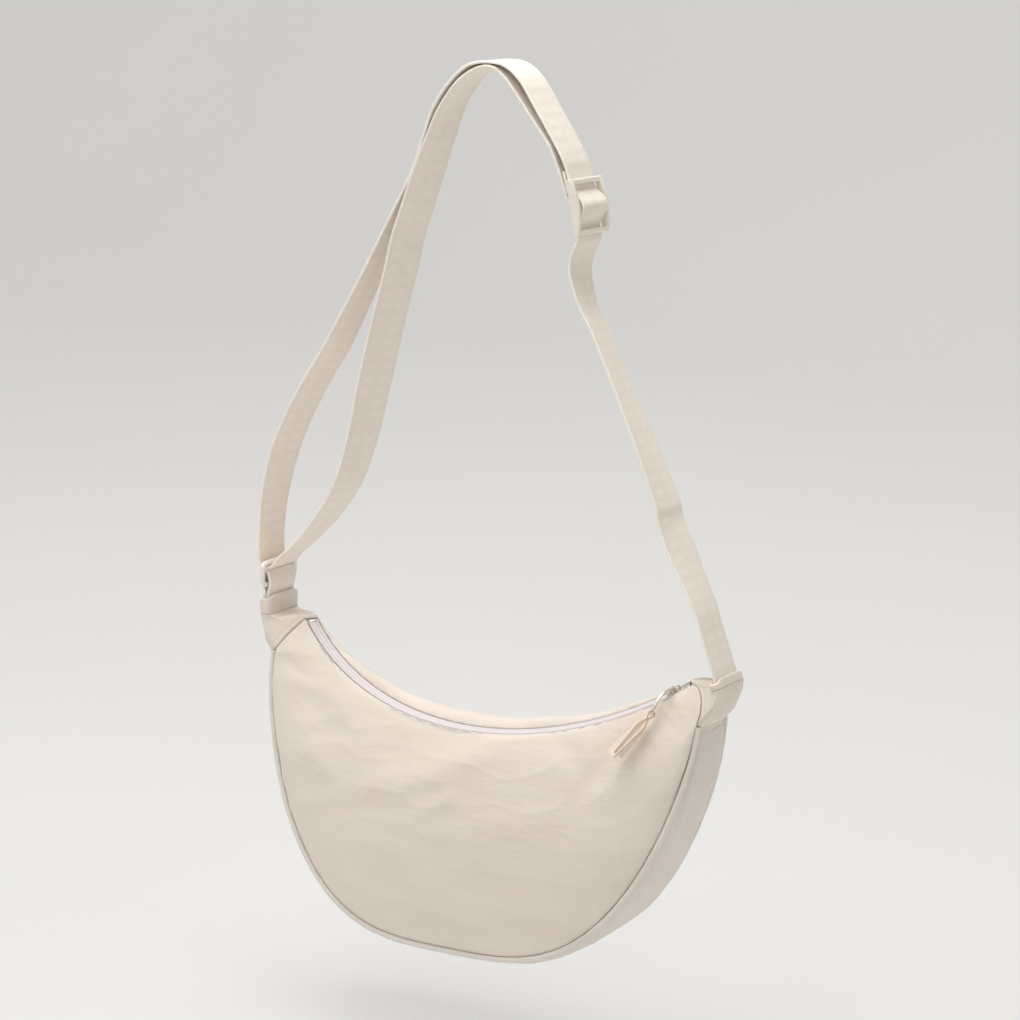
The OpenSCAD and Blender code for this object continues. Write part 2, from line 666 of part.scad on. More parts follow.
// Slider: a plate above and below the chain, a neck between, side flanges, and a bridge on top
plate_w = 6.2;
plate_t = 0.9;
nose_w = 5.4;
flange_t = 0.4;
bridge_w = 1;
bridge_t = 0.9;
bridge_l = 6.6;
bridge_gap = wire_d + 2 * run_gap;
top_z = run_gap;
low_z = -tape_t - coil_gap - coil_wire - run_gap;
module plate() {
  r = slider_l / 5;
  linear_extrude(plate_t) polygon(concat(
    [for (u = [0 : 30 : 90]) [plate_w / 2 - r + r * cos(u), slider_l / 2 - r + r * sin(u)]],
    [for (u = [90 : 30 : 180]) [r - plate_w / 2 + r * cos(u), slider_l / 2 - r + r * sin(u)]],
    [for (u = [180 : 30 : 270]) [r - nose_w / 2 + r * cos(u), r - slider_l / 2 + r * sin(u)]],
    [for (u = [270 : 30 : 360]) [nose_w / 2 - r + r * cos(u), r - slider_l / 2 + r * sin(u)]]));
}
module zip_slider() {
  color(metal) on_zip(park_phi) {
    translate([0, 0, top_z]) plate();
    translate([0, 0, low_z - plate_t]) plate();
    translate([-neck_w / 2, neck_at, low_z - plate_t / 2])
      cube([neck_w, neck_l, top_z - low_z + plate_t]);
    for (s = [-1, 1])
      translate([s * (nose_w - flange_t) / 2 - flange_t / 2, -slider_l * 0.35, low_z - plate_t / 2])
        cube([flange_t, slider_l * 0.4, plate_t / 2 - low_z - tape_t - run_gap]);
    translate([-bridge_w / 2, 0, top_z + plate_t]) rotate([90, 0, 90]) linear_extrude(bridge_w)
      difference() {
        bridge_outline(bridge_l / 2, bridge_gap + bridge_t);
        bridge_outline(bridge_l / 2 - bridge_t, bridge_gap);
      }
  }
}
module bridge_outline(half, rise) {
  polygon(concat([[half, -plate_t / 3], [half, rise / 2]],
    [for (u = [15 : 15 : 165]) [half * cos(u), rise / 2 + rise / 2 * sin(u)]],
    [[-half, rise / 2], [-half, -plate_t / 3]]));
}

// Puller: its frame stands under the bridge, X along the wire where it passes there
puller_tilt = -10;
puller_yaw = 15;
puller_z = top_z + plate_t + bridge_gap / 2;
module puller_frame() {
  on_zip(park_phi) translate([0, 0, puller_z]) rotate([0, 0, puller_yaw]) rotate([0, puller_tilt, 0])
    children();
}
// Middle line of the loop: along the zip, then over the edge and down the front
wire_side_share = 0.52;
wire_drop_share = 0.25;
wire_hump_share = 0.16;
function wire_mid(t) = wire_l * [wire_side_share * (1 - cos(180 * t)) / 2, -t,
  wire_hump_share * sin(180 * t) - wire_drop_share * pow(t, 3)];
wire_slack = 0.5;
wire_half = bridge_w + run_gap + wire_d / 2 + wire_slack;
wire_rings = 28;
wire_sides = 8;
wire_square = 0.45;
// Closed tube on the loop: u turns once, X swings between the strands and t from bridge to tip
function wire_ring(u) =
  let (t = (1 - square_off(cos(u), wire_square)) / 2)
  wire_mid(t) + [wire_half * square_off(sin(u), wire_square), 0, 0];
module puller_wire() {
  points = [for (i = [0 : wire_rings - 1])
    let (u = 360 * i / wire_rings, c = wire_ring(u), along = unit(wire_ring(u + 1) - wire_ring(u - 1)),
      t = (1 - square_off(cos(u), wire_square)) / 2, slope = wire_mid(t + 0.01) - wire_mid(t - 0.01),
      up = unit([0, slope[2], -slope[1]]), side = unit(cross(along, up)), top = cross(side, along))
    for (k = [0 : wire_sides - 1]) let (v = 360 * k / wire_sides)
      c + wire_d / 2 * (cos(v) * side + sin(v) * top)];
  n = wire_sides;
  walls = [for (i = [0 : wire_rings - 1], k = [0 : n - 1])
    let (a = i * n + k, b = i * n + (k + 1) % n, c = (i + 1) % wire_rings * n + k,
      d = (i + 1) % wire_rings * n + (k + 1) % n) [[a, b, d], [a, d, c]]];
  color(metal) puller_frame()
    polyhedron(points, [for (w = walls) for (f = w) f], convexity = 6);
}

// Ribbon: folded round the tip of the wire, its two layers running off side by side
ribbon_dip = 17;
ribbon_r = wire_d / 2 + 2 * run_gap + ribbon_t / 2;
ribbon_neck = 0.6 * wire_half;
ribbon_spread = 2.4;
module puller_ribbon() {
  half = ribbon_t / 2 + sewn_gap / 2;
  path = concat(
    [[ribbon_l, half + ribbon_spread / 2], [ribbon_l * 0.6, half + ribbon_spread / 4],
      [ribbon_l * 0.25, half], [2 * ribbon_r, half + ribbon_t / 4]],
    [for (u = [50 : 26 : 310]) ribbon_r * [cos(u), sin(u)]],
    [[2 * ribbon_r, -half - ribbon_t / 4], [ribbon_l * 0.25, -half],
      [ribbon_l * 0.6, -half - ribbon_spread / 4], [ribbon_l * 0.92, -half - ribbon_spread / 2]]);
  neck_end = 2.2 * ribbon_r;
  wide_from = ribbon_l * 0.3;
  color(cream) puller_frame() translate(wire_mid(1)) rotate([0, 0, -90]) rotate([0, ribbon_dip, 0])
    intersection() {
      webbing(spline(path, 2), ribbon_w, ribbon_t);
      linear_extrude(ribbon_w, center = true)
        polygon([[-ribbon_w, -ribbon_neck / 2], [neck_end, -ribbon_neck / 2],
          [wide_from, -ribbon_w / 2], [2 * ribbon_l, -ribbon_w / 2], [2 * ribbon_l, ribbon_w / 2],
          [wide_from, ribbon_w / 2], [neck_end, ribbon_neck / 2], [-ribbon_w, ribbon_neck / 2]]);
    }
}

from_hang_point() front_panel();
from_hang_point() back_panel();
from_hang_point() gusset();
from_hang_point() left_gusset_patch();
from_hang_point() right_gusset_patch();
from_hang_point() front_piping();
from_hang_point() back_piping();
from_hang_point() left_horn_cap();
from_hang_point() right_horn_cap();
from_hang_point() left_sleeve();
from_hang_point() right_sleeve();
from_hang_point() front_lining();
from_hang_point() back_lining();
from_hang_point() gusset_lining();
from_hang_point() slip_pocket();
from_hang_point() zip_tape_front();
from_hang_point() zip_tape_back();
from_hang_point() zip_coil_front();
from_hang_point() zip_coil_back();
from_hang_point() zip_top_stop();
from_hang_point() zip_bottom_stop();
from_hang_point() zip_slider();
from_hang_point() puller_wire();
from_hang_point() puller_ribbon();
from_hang_point() tab_webbing();
from_hang_point() strap_horn_end();
from_hang_point() ring();
from_hang_point() strap_lower_run();
from_hang_point() strap_lower_feed();
from_hang_point() strap_outer_layer();
from_hang_point() strap_outer_feed();
from_hang_point() strap_ring_fold();
from_hang_point() strap_inner_layer();
from_hang_point() strap_inner_feed();
from_hang_point() strap_weave();
from_hang_point() strap_sewn_end();
from_hang_point() strap_adjuster();
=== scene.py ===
"""Half-moon shoulder bag of padded nylon on a webbing strap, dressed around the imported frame.

Lengths are millimetres in the horn frame: its origin is midway between the two horn mouths, X to the
right, Y to the back, Z up. place() moves a point to the part's own frame in metres.
"""

import bmesh
import bpy
import numpy as np
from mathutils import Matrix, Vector


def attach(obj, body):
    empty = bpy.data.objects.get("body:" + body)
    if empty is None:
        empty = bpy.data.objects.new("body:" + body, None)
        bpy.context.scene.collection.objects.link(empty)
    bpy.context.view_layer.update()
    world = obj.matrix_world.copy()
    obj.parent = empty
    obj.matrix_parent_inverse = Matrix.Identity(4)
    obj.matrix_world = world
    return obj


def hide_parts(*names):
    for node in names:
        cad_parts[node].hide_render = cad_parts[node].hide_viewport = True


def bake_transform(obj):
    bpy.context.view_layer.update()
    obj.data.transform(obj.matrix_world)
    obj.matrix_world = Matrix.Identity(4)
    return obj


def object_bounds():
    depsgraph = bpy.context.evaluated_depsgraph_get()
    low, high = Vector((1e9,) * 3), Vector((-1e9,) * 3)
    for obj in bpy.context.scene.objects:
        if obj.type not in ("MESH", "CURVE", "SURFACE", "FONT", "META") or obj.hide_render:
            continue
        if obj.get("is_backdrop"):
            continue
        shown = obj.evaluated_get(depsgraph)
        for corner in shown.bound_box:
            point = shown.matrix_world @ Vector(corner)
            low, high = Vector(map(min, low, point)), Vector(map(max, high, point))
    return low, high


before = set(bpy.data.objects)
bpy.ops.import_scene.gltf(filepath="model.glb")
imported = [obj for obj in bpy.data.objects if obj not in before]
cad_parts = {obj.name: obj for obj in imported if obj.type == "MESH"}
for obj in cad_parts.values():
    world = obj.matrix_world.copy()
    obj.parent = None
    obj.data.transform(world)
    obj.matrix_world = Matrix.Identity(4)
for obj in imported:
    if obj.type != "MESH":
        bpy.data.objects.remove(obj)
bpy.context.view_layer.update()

# Sizes, mm and degrees
body_w, body_h, body_d, top_d, body_forward = 288, 146, 82, 30, 8
seam_drop, swell = 28, 17
cloth_t, edge_t, lining_t, piping_d = 1.2, 0.5, 0.6, 3.2
zip_span, zip_shift, zip_sag, zip_drop, zip_slope, zip_show = 258, 2, 50, 10, 42, 8
tape_t, coil_wire, coil_gap, slider_l = 0.5, 1.1, 0.15, 11
wire_d, wire_l, ribbon_l, ribbon_w, ribbon_t = 1.4, 19, 31, 7, 0.7
web_w, web_t, strap_rise, horn_span = 25, 1.6, 318, 302
ring_bar, ring_h, adj_l, adj_bar_w, adj_bar_t, adj_mid_d = 3, 16, 30.4, 3, 2.6, 3
tail_l, tail_out, sleeve_h, sewn_deep, tab_rise, pivot_z = 34, 5, 11, 7, 9, 21.7
right_lean, adj_lean = 20, 10
run_gap = sewn_gap = 0.3
lining_gap, pocket_gap = 0.8, 0.7
mouth_x = horn_span / 2
crest_x = 0.046 * mouth_x
hang_point = np.array([crest_x, 0, strap_rise])

# Camera, light and stage
camera_target = Vector((0.00675, 0, -0.2449))
camera_turn, camera_rise, camera_far = np.radians(33), np.radians(12.3), 1.5
film_w, picture_px, focal_px = 36, 1020, 2680
glow_share = 0.6


def aim(thing, place_at, look_at):
    """Puts a light or camera at a place and turns it to look at a point."""
    thing.location = place_at
    thing.rotation_euler = (Vector(look_at) - Vector(place_at)).to_track_quat("-Z", "Y").to_euler()


def round_about(turn, rise, far):
    """Point at a distance from the target: turn is clockwise from the front, rise is above level."""
    level = np.cos(rise)
    return camera_target + far * Vector((np.sin(turn) * level, -np.cos(turn) * level, np.sin(rise)))


camera = bpy.data.objects.new("camera", bpy.data.cameras.new("camera"))
bpy.context.collection.objects.link(camera)
camera.data.sensor_width = film_w
camera.data.lens = focal_px / picture_px * film_w
camera.data.clip_end = 30
aim(camera, round_about(camera_turn, camera_rise, camera_far), camera_target)
bpy.context.scene.camera = camera


def softbox(name, turn, rise, far, size, watts, tint):
    """Square area light at a turn and rise about the bag in degrees; far and size are metres."""
    lamp = bpy.data.objects.new(name, bpy.data.lights.new(name, "AREA"))
    bpy.context.collection.objects.link(lamp)
    lamp.data.shape = "SQUARE"
    lamp.data.size = size
    lamp.data.energy = watts
    lamp.data.color = tint
    aim(lamp, round_about(np.radians(turn), np.radians(rise), far), camera_target)


softbox("key_light", turn=-22, rise=50, far=2.2, size=1.6, watts=15, tint=(1, 0.985, 0.965))
softbox("fill_light", turn=80, rise=22, far=2.4, size=1.8, watts=6, tint=(1, 0.99, 0.98))
softbox("top_light", turn=-60, rise=84, far=1.3, size=0.9, watts=14, tint=(1, 0.99, 0.975))
softbox("back_light", turn=205, rise=45, far=2.4, size=1.6, watts=7, tint=(1, 0.99, 0.97))

bpy.context.scene.view_settings.view_transform = "Standard"


# Materials
def linear(code):
    """sRGB hex colour as linear red, green, blue and alpha."""
    c = np.array([int(code[i:i + 2], 16) for i in (1, 3, 5)]) / 255
    c = np.where(c <= 0.04045, c / 12.92, ((c + 0.055) / 1.055) ** 2.4)
    return (*c.tolist(), 1.0)


def add(tree, kind, inputs=None, **settings):
    """One shader node: inputs names sockets and gives each a value or another node's output."""
    node = tree.nodes.new(kind)
    for key, value in settings.items():
        setattr(node, key, value)
    for key, value in (inputs or {}).items():
        if isinstance(value, bpy.types.NodeSocket):
            tree.links.new(value, node.inputs[key])
        else:
            node.inputs[key].default_value = value
    return node


def new_material(name):
    """Empty node material with its tree."""
    material = bpy.data.materials.new(name)
    material.use_nodes = True
    material.node_tree.nodes.clear()
    return material, material.node_tree


def ramp(tree, factor, stops, mode="LINEAR"):
    """Colour ramp with stops of place and colour."""
    node = add(tree, "ShaderNodeValToRGB", {"Fac": factor})
    node.color_ramp.interpolation = mode
    while len(node.color_ramp.elements) < len(stops):
        node.color_ramp.elements.new(0.5)
    for element, (at, colour) in zip(node.color_ramp.elements, stops):
        element.position = at
        element.color = colour
    return node.outputs["Color"]


def surface(tree, colour, normal=None, **settings):
    """Principled surface to the output; settings are given by socket name with underscores."""
    inputs = {"Base Color": colour}
    for key, value in settings.items():
        inputs[key.replace("_", " ").title().replace("Ior", "IOR")] = value
    if normal is not None:
        inputs["Normal"] = normal
    shader = add(tree, "ShaderNodeBsdfPrincipled", inputs)
    add(tree, "ShaderNodeOutputMaterial", {"Surface": shader.outputs[0]})
    return shader


# Length of one sine band of Blender's wave texture at scale 1
band = 2 * np.pi / 20


def bands(tree, where, way, step, **inputs):
    """Sine bands across one axis, a step apart in metres."""
    sockets = {"Vector": where, "Scale": band / step}
    for key, value in inputs.items():
        sockets[key.replace("_", " ").title()] = value
    return add(tree, "ShaderNodeTexWave", sockets, bands_direction=way, wave_profile="SIN").outputs["Fac"]


def leaning_noise(tree, where, lean, scale, inputs):
    """Noise in a space turned about Y by a lean in degrees and then scaled along its axes."""
    space = add(tree, "ShaderNodeMapping", {"Vector": where, "Rotation": (0, np.radians(lean), 0),
                "Scale": scale}).outputs[0]
    return add(tree, "ShaderNodeTexNoise", {"Vector": space, "Scale": 1.0, **inputs}).outputs["Fac"]


def crinkled_nylon(name, light, dark, crinkle=1.0):
    """Plain-woven nylon over thin wadding: soft sheen, fine crinkles that run mostly level and fade
    towards the bottom, and a faint unevenness about 6 mm apart. Its 0.2 mm threads are too fine to show."""
    material, tree = new_material(name)
    where = add(tree, "ShaderNodeTexCoord").outputs["Object"]
    broad = leaning_noise(tree, where, 14, (22, 40, 80),
                          {"Detail": 4.0, "Roughness": 0.5, "Distortion": 0.4})
    level = leaning_noise(tree, where, 9, (62, 90, 380),
                          {"Detail": 5.0, "Roughness": 0.62, "Distortion": 0.6})
    slanted = leaning_noise(tree, where, -24, (70, 90, 300), {"Detail": 4.0, "Roughness": 0.6})
    warp, weft = [bands(tree, where, way, 0.005712, distortion=1.2, detail=1.0) for way in "XZ"]
    weave = add(tree, "ShaderNodeMath", {0: warp, 1: weft}, operation="MULTIPLY")
    height = add(tree, "ShaderNodeSeparateXYZ", {0: where}).outputs["Z"]
    high = add(tree, "ShaderNodeMapRange",
               {"Value": height, "From Min": -0.48, "From Max": -0.4, "To Min": 0.3,
               "To Max": 1.0}).outputs[0]
    crinkles = add(tree, "ShaderNodeMath", {0: level, 1: slanted}, operation="ADD").outputs[0]
    crinkles = add(tree, "ShaderNodeMath", {0: crinkles, 1: high}, operation="MULTIPLY").outputs[0]
    bump_weave = add(tree, "ShaderNodeBump",
                     {"Height": weave.outputs[0], "Strength": 0.12, "Distance": 0.0003})
    bump_fine = add(tree, "ShaderNodeBump",
                    {"Height": crinkles, "Strength": 0.2 * crinkle, "Distance": 0.0009,
                    "Normal": bump_weave.outputs[0]})
    bump = add(tree, "ShaderNodeBump", {"Height": broad, "Strength": 0.16 * crinkle, "Distance": 0.0032,
               "Normal": bump_fine.outputs[0]})
    tone = ramp(tree, broad, [(0.3, linear(dark)), (0.62, linear(light))])
    surface(tree, tone, bump.outputs[0], roughness=0.52, specular_ior_level=0.4, sheen_weight=0.18,
            sheen_roughness=0.45, ior=1.5)
    return material


def woven_strip(name, tones, rib, column, depth, roughness):
    """Woven narrow goods on the piece's own UV in metres: soft ribs across the length and columns along
    it, drawn wider than the real threads. tones gives the colours from the middle to the edge, each with
    its distance in millimetres."""
    material, tree = new_material(name)
    uv = add(tree, "ShaderNodeUVMap", uv_map="strip").outputs[0]
    ribs = bands(tree, uv, "X", rib, distortion=0.6, detail=1.0, detail_scale=0.6)
    columns = bands(tree, uv, "Y", column, distortion=0.4)
    noise = add(tree, "ShaderNodeTexNoise", {"Vector": uv, "Scale": 900.0, "Detail": 3.0, "Roughness": 0.6})
    cloud = add(tree, "ShaderNodeTexNoise", {"Vector": uv, "Scale": 18.0, "Detail": 2.0})
    weave = add(tree, "ShaderNodeMath", {0: ribs, 1: columns}, operation="MULTIPLY")
    height = add(tree, "ShaderNodeMath", {0: noise.outputs["Fac"], 1: 0.3, 2: weave.outputs[0]},
                 operation="MULTIPLY_ADD")
    bump = add(tree, "ShaderNodeBump", {"Height": height.outputs[0], "Strength": 0.45, "Distance": depth})
    across = add(tree, "ShaderNodeSeparateXYZ", {0: uv}).outputs["Y"]
    away = add(tree, "ShaderNodeMath", {0: across}, operation="ABSOLUTE").outputs[0]
    reach = tones[-1][0] / 1000
    share = add(tree, "ShaderNodeMath", {0: away, 1: 1 / reach}, operation="MULTIPLY").outputs[0]
    tone = ramp(tree, share, [(at * 0.001 / reach, linear(colour)) for at, colour in tones])
    # Painted shade: the colour darkens by up to 4.5% where the weave lies low, in the hollows between ribs
    # and columns.
    shade = add(tree, "ShaderNodeMapRange",
                {"Value": weave.outputs[0], "To Min": 0.955, "To Max": 1.0}).outputs[0]
    drift = add(tree, "ShaderNodeMapRange",
                {"Value": cloud.outputs["Fac"], "From Min": 0.3, "From Max": 0.7,
                "To Min": 0.975, "To Max": 1.0}).outputs[0]
    level = add(tree, "ShaderNodeMath", {0: shade, 1: drift}, operation="MULTIPLY").outputs[0]
    tone = add(tree, "ShaderNodeVectorMath", {0: tone, "Scale": level}, operation="SCALE").outputs[0]
    surface(tree, tone, bump.outputs[0], roughness=roughness, specular_ior_level=0.35, sheen_weight=0.15,
            sheen_roughness=0.5)
    return material


def moulded(name, light, dark, roughness):
    """Injection-moulded nylon: even colour, satin gloss and the faint ripple of the mould."""
    material, tree = new_material(name)
    where = add(tree, "ShaderNodeTexCoord").outputs["Object"]
    noise = add(tree, "ShaderNodeTexNoise", {"Vector": where, "Scale": 240.0, "Detail": 3.0})
    bump = add(tree, "ShaderNodeBump",
               {"Height": noise.outputs["Fac"], "Strength": 0.1, "Distance": 0.0004})
    tone = ramp(tree, noise.outputs["Fac"], [(0.3, linear(dark)), (0.7, linear(light))])
    surface(tree, tone, bump.outputs[0], roughness=roughness, ior=1.5, coat_weight=0.25,
            coat_roughness=0.12)
    return material


def nickel_plate():
    """Nickel-plated zinc and wire: bright, slightly warm, with fine handling scratches in its gloss."""
    material, tree = new_material("nickel_plated_zinc")
    where = add(tree, "ShaderNodeTexCoord").outputs["Object"]
    scratch = add(tree, "ShaderNodeMapping", {"Vector": where, "Scale": (500, 2600, 900)})
    noise = add(tree, "ShaderNodeTexNoise", {"Vector": scratch.outputs[0], "Scale": 1.0, "Detail": 5.0})
    rough = add(tree, "ShaderNodeMapRange",
                {"Value": noise.outputs["Fac"], "From Min": 0.3, "From Max": 0.7,
                "To Min": 0.14, "To Max": 0.3}).outputs[0]
    tone = ramp(tree, noise.outputs["Fac"], [(0.3, linear("#C9BFB2")), (0.7, linear("#E4DED6"))])
    surface(tree, tone, roughness=rough, metallic=1.0)
    return material


def studio_floor():
    """Matt pale paper sweep with a faint fibre tone. Seen straight, in a reflection or through something,
    part of it glows, which makes it pale without more light on the bag, and it keeps the bag's shadow."""
    material, tree = new_material("paper_sweep")
    where = add(tree, "ShaderNodeTexCoord").outputs["Object"]
    noise = add(tree, "ShaderNodeTexNoise", {"Vector": where, "Scale": 3.0, "Detail": 3.0})
    tone = ramp(tree, noise.outputs["Fac"], [(0.3, linear("#E6E5E3")), (0.7, linear("#EAE9E7"))])
    paper = add(tree, "ShaderNodeBsdfPrincipled",
                {"Base Color": tone, "Roughness": 0.9, "Specular IOR Level": 0.1})
    glow = add(tree, "ShaderNodeEmission", {"Color": linear("#E4E3E1"), "Strength": 1.0})
    ray = add(tree, "ShaderNodeLightPath").outputs
    seen = add(tree, "ShaderNodeMath", {0: ray["Is Camera Ray"], 1: ray["Is Glossy Ray"]},
               operation="MAXIMUM")
    seen = add(tree, "ShaderNodeMath", {0: seen.outputs[0], 1: ray["Is Transmission Ray"]},
               operation="MAXIMUM")
    share = add(tree, "ShaderNodeMath", {0: seen.outputs[0], 1: glow_share}, operation="MULTIPLY")
    mixed = add(tree, "ShaderNodeMixShader", {0: share.outputs[0], 1: paper.outputs[0], 2: glow.outputs[0]})
    add(tree, "ShaderNodeOutputMaterial", {"Surface": mixed.outputs[0]})
    return material


panel_nylon = crinkled_nylon("padded_nylon_front", "#E3D9CE", "#DFD4C9")
gusset_nylon = crinkled_nylon("nylon_gusset", "#DDD5CC", "#D9D0C7", 0.4)
patch_nylon = crinkled_nylon("nylon_horn_patch", "#E1D7CC", "#DDD2C6", 0.4)
piping_nylon = crinkled_nylon("bias_cut_nylon_piping", "#DDD8D2", "#D8D2CB", 0.3)
lining_taffeta = crinkled_nylon("polyester_taffeta_lining", "#CFC5B9", "#C4BAAE", 0.4)
webbing_tones = [(0, "#F3E9DE"), (11.2, "#F3E9DE"), (12.2, "#F8F1E9"), (13, "#F8F1E9")]
# Zip tape: the pale middle is a painted highlight along the tapes' meeting edges, then a grey line and the
# lilac tape; from 3.3 mm out the dark band is painted shadow under the panels' edges.
tape_tones_with_painted_light = [(0, "#F2EFED"), (0.5, "#EFEBE9"), (0.72, "#B3AAAE"), (0.95, "#DCD5D6"), (3.15, "#DCD5D6"),
              (3.3, "#93878D"), (5, "#93878D")]
ribbon_tones = [(0, "#E9DFD3"), (2.9, "#E6DBCD"), (3.4, "#C9A27A"), (4, "#C39A70")]
strap_webbing = woven_strip("woven_nylon_webbing", webbing_tones, 0.00754, 0.01068, 0.0004, 0.6)
tape_knit = woven_strip("knitted_zip_tape", tape_tones_with_painted_light, 0.005655, 0.008796, 0.0003, 0.7)
grosgrain = woven_strip("grosgrain_ribbon", ribbon_tones, 0.0069115, 0.01885, 0.0004, 0.62)
buckle_nylon = moulded("moulded_nylon_buckle", "#EFE8DE", "#EAE1D6", 0.28)
coil_nylon = moulded("drawn_nylon_coil", "#D8D1CE", "#CEC6C3", 0.4)
nickel = nickel_plate()


# Meshes
def place(points):
    """Millimetres in the horn frame to metres in the part's frame."""
    return (np.asarray(points, float) - hang_point) / 1000


def grid_faces(n, m, wrap_n=False, wrap_m=False, first=0):
    """Four-sided faces of an n by m grid of points numbered row by row."""
    i, j = np.meshgrid(np.arange(n - (not wrap_n)), np.arange(m - (not wrap_m)), indexing="ij")
    i2, j2 = (i + 1) % n, (j + 1) % m
    corners = np.stack([i * m + j, i * m + j2, i2 * m + j2, i2 * m + j], -1)
    return (corners.reshape(-1, 4) + first).tolist()


def make_piece(name, points, faces, material, body, replaces=(), uv=None, sharp=50, join=None):
    """Mesh object at the origin with outward faces, riding on its body; when join is given, which names
    the two bodies and the two points, it is left on no body and nothing bends it across a joint."""
    mesh = bpy.data.meshes.new(name)
    mesh.from_pydata(place(points).tolist(), [], faces)
    work = bmesh.new()
    work.from_mesh(mesh)
    bmesh.ops.recalc_face_normals(work, faces=work.faces)
    work.to_mesh(mesh)
    work.free()
    mesh.shade_smooth()
    mesh.set_sharp_from_angle(angle=np.radians(sharp))
    if uv is not None:
        corner = np.empty(len(mesh.loops), int)
        mesh.loops.foreach_get("vertex_index", corner)
        layer = mesh.uv_layers.new(name="strip")
        layer.data.foreach_set("uv", (np.asarray(uv, float).reshape(-1, 2)[corner] / 1000).ravel())
    mesh.materials.append(material)
    piece = bpy.data.objects.new(name, mesh)
    bpy.context.collection.objects.link(piece)
    if join:
        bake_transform(piece)
    else:
        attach(piece, body)
    if replaces:
        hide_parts(*replaces)
    return piece


def unit(v):
    """Vectors at a length of one."""
    return v / np.maximum(np.linalg.norm(v, axis=-1, keepdims=True), 1e-9)


def grid_normals(grid):
    """Unit cross product of a grid's differences along its two directions."""
    return unit(np.cross(np.gradient(grid, axis=0), np.gradient(grid, axis=1)))


def cloth_sheet(grid, thickness, turn):
    """Points and faces of a sheet of cloth: the grid, the same grid set in by the thickness against its
    normal, and between them an edge that stands out by half the thickness."""
    n, m = grid.shape[:2]
    thick = np.broadcast_to(thickness, (n, m))[..., None]
    normal = grid_normals(grid) * turn
    inner = grid - normal * thick
    up, across = np.arange(n - 1), np.arange(m - 1)
    i = np.concatenate([up, np.full(m - 1, n - 1), n - 1 - up, np.zeros(m - 1, int)])
    j = np.concatenate([np.zeros(n - 1, int), across, np.full(n - 1, m - 1), m - 1 - across])
    out = grid[i, j] - grid[np.clip(i, 1, n - 2), np.clip(j, 1, m - 2)]
    out = unit(out - (out * normal[i, j]).sum(-1, keepdims=True) * normal[i, j])
    edge = (grid[i, j] + inner[i, j]) / 2 + out * thick[i, j] * 0.45
    points = np.vstack([grid.reshape(-1, 3), inner.reshape(-1, 3), edge])
    rim, count = i * m + j, len(i)
    last = 2 * n * m
    k = np.arange(count)
    k2 = (k + 1) % count
    side_a = np.stack([rim[k], rim[k2], last + k2, last + k], -1)
    side_b = np.stack([last + k, last + k2, n * m + rim[k2], n * m + rim[k]], -1)
    faces = grid_faces(n, m) + grid_faces(n, m, first=n * m) + side_a.tolist() + side_b.tolist()
    return points, faces


def tube(rows, closed=False):
    """Points and faces of a tube through rows of points; its ends are capped unless it is closed."""
    n, m = rows.shape[:2]
    faces = grid_faces(n, m, wrap_n=closed, wrap_m=True)
    if not closed:
        faces += [list(range(m)), list(range((n - 1) * m, n * m))]
    return rows.reshape(-1, 3), faces


def merge(parts):
    """Joins several pairs of points and faces into one."""
    points, faces, first = [], [], 0
    for p, f in parts:
        points.append(p)
        faces += [[c + first for c in face] for face in f]
        first += len(p)
    return np.vstack(points), faces


def carried(path, side, top, section):
    """Rows of a section carried along a path: path + section x times side + section y times top."""
    return path[:, None] + section[None, :, :1] * side[:, None] + section[None, :, 1:] * top[:, None]


def circle(radius, sides):
    """Points of a circle at even steps."""
    u = np.linspace(0, 2 * np.pi, sides, endpoint=False)
    return np.stack([np.cos(u), np.sin(u)], -1) * radius


def turned(axis, degrees):
    """Rotation matrix about the X, Y or Z axis."""
    c, s = np.cos(np.radians(degrees)), np.sin(np.radians(degrees))
    rows = {"x": [[1, 0, 0], [0, c, -s], [0, s, c]], "y": [[c, 0, s], [0, 1, 0], [-s, 0, c]],
            "z": [[c, -s, 0], [s, c, 0], [0, 0, 1]]}
    return np.array(rows[axis])


def smooth(t):
    """Eases from 0 to 1."""
    t = np.clip(t, 0, 1)
    return t * t * (3 - 2 * t)


# The bag's surfaces
def arch(a):
    """Height of the bag's outline along its width, from 1 in the middle to 0 at the horns."""
    return np.maximum(1 - np.abs(np.sin(a)) ** 3.175, 0)


def outline_xz(a):
    """Outline: x = half width times sin a, z falls by the arch to the power 0.69."""
    return np.stack([body_w / 2 * np.sin(a), -seam_drop - body_h * arch(a) ** 0.69], -1)


def seam_out(a):
    """Direction out of the outline at the seam, square to it."""
    probe, end = np.radians(0.5), np.pi / 2
    d = unit(outline_xz(np.minimum(a + probe, end)) - outline_xz(np.maximum(a - probe, -end)))
    return np.stack([d[..., 1], -d[..., 0]], -1)


def seam_xz(a):
    """The outline, let out by up to 4 mm along the lower left, where the filling lies."""
    d = np.degrees(a)
    spread = 2.8 * smooth((18 - d) / 45) * smooth((d + 90) / 16) + 1.2 * np.exp(-((d + 58) / 12) ** 2)
    return outline_xz(a) + seam_out(a) * spread[..., None]


def seam_y(a):
    """Half the depth between the seams: it follows the arch to the power 0.8."""
    return (top_d + (body_d - top_d) * arch(a) ** 0.8) / 2


def middle_y(a, side):
    """How far the middle stands forward: more at the bottom, and on the right of the back seam, which
    the load draws in by a bell-shaped amount."""
    drawn = 6.5 * np.exp(-((np.degrees(a) - 55) / 15) ** 2) * (side > 0)
    return -body_forward * arch(a) ** 0.8 - drawn


def seam_point(a, side, out=0.0):
    """Seam on one side of the bag, out of the outline by some millimetres."""
    p = seam_xz(a) + seam_out(a) * np.asarray(out)[..., None]
    return np.stack([p[..., 0], middle_y(a, side) + side * seam_y(a), p[..., 1]], -1)


